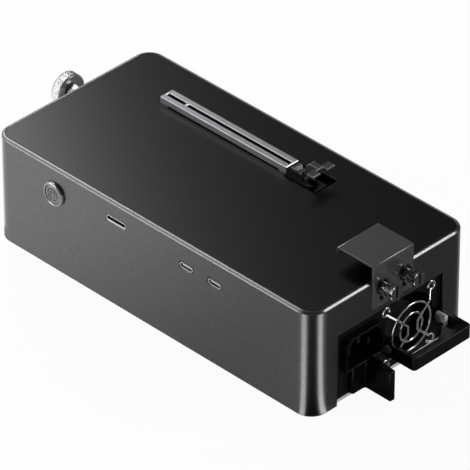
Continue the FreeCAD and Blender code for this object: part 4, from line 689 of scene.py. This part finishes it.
def floor_card(name, outline, glow):
    """Flat card just above the floor that only mirrors see. Its outline is in millimetres, and glow
    gives two (x in millimetres, brightness) ends of a fade."""
    above_floor = 0.4
    mesh = bpy.data.meshes.new(name)
    mesh.from_pydata([Vector((x, y, above_floor)) * MM for x, y in outline], [],
                     [tuple(range(len(outline)))])
    card = bpy.data.objects.new(name, mesh)
    card.visible_camera = False
    card.visible_diffuse = False
    card.visible_shadow = False
    bpy.context.scene.collection.objects.link(card)
    material = new_material(name, (0.02, 0.02, 0.02), 0.0, 0.9, emission_color=(1.0, 1.0, 1.0, 1.0))
    place = node(material, "ShaderNodeTexCoord")
    split = node(material, "ShaderNodeSeparateXYZ")
    (start, dim), (end, bright) = glow
    fade = node(material, "ShaderNodeMapRange", from_min=start * MM, from_max=end * MM, to_min=dim,
                to_max=bright)
    fade.interpolation_type = "SMOOTHSTEP"
    link(material, place, "Object", split, "Vector")
    link(material, split, "X", fade, "Value")
    link(material, fade, "Result", principled(material), "Emission Strength")
    mesh.materials.append(material)


def floor_cards():
    """Cards that the walls mirror: a fading one in front, one at the far end, two bright strips for the
    near round corner with a black one between them, and a dark one beside the power supply end."""
    low, high = box_mm("housing")
    radius, clearance, strip_length = 10.0, 1.5, 220.0
    centre = Vector((high.x - radius, low.y + radius))

    def wedge(first, last, lean):
        """Strip that the corner mirrors between two angles of its wall; lean moves its near end from
        the mirrored direction towards the wall's own."""
        near, far = [], []
        for step in range(9):
            turn = math.radians(first + (last - first) * step / 8)
            away = math.radians(225) + 2 * turn
            facing = math.radians(270) + turn
            root = away + (facing - away) * lean
            foot = centre + Vector((math.cos(root), math.sin(root))) * (radius + clearance)
            near.append(foot)
            far.append(foot + Vector((math.cos(away), math.sin(away))) * strip_length)
        return near + far[::-1]

    def even(glow):
        return (0.0, glow), (1.0, glow)

    front, left, right = low.y - 1.0, low.x - 5.0, high.x + 4
    floor_card("card_wall", [(-450, front), (-450, -380), (-19, -380), (103, front)],
               ((60.0, 0.37), (-150.0, 1.00)))
    floor_card("card_left", [(left, 0), (-260, 0), (-260, front), (left, front)], even(1.7))
    floor_card("card_front", wedge(16.0, 29.5, 0.5), even(2.6))
    floor_card("card_dark", wedge(31.5, 60.0, 0.3), even(0.0))
    floor_card("card_side", wedge(62.0, 73.5, 0.0), even(3.0))
    floor_card("card_end", [(right, -41), (470, 140), (470, 450), (right, 450)], even(0.10))


def camera():
    """Long lens that looks down at the front wall and the power supply end."""
    azimuth, elevation = math.radians(44.915), math.radians(35.448)
    target = Vector((4.73, -0.04, 31.5)) * MM
    distance = 2794.3 * MM
    back = Vector((math.sin(azimuth) * math.cos(elevation), -math.cos(azimuth) * math.cos(elevation),
                   math.sin(elevation)))
    data = bpy.data.cameras.new("camera")
    data.sensor_width = 36.0
    data.lens = 428.81
    data.clip_start, data.clip_end = 0.1, 20.0
    view = bpy.data.objects.new("camera", data)
    view.location = target + back * distance
    view.rotation_euler = (-back).to_track_quat("-Z", "Y").to_euler()
    bpy.context.scene.collection.objects.link(view)
    bpy.context.scene.camera = view


backdrop()
lamps()
floor_cards()
floor()
camera()
bpy.context.scene.view_settings.view_transform = "Standard"
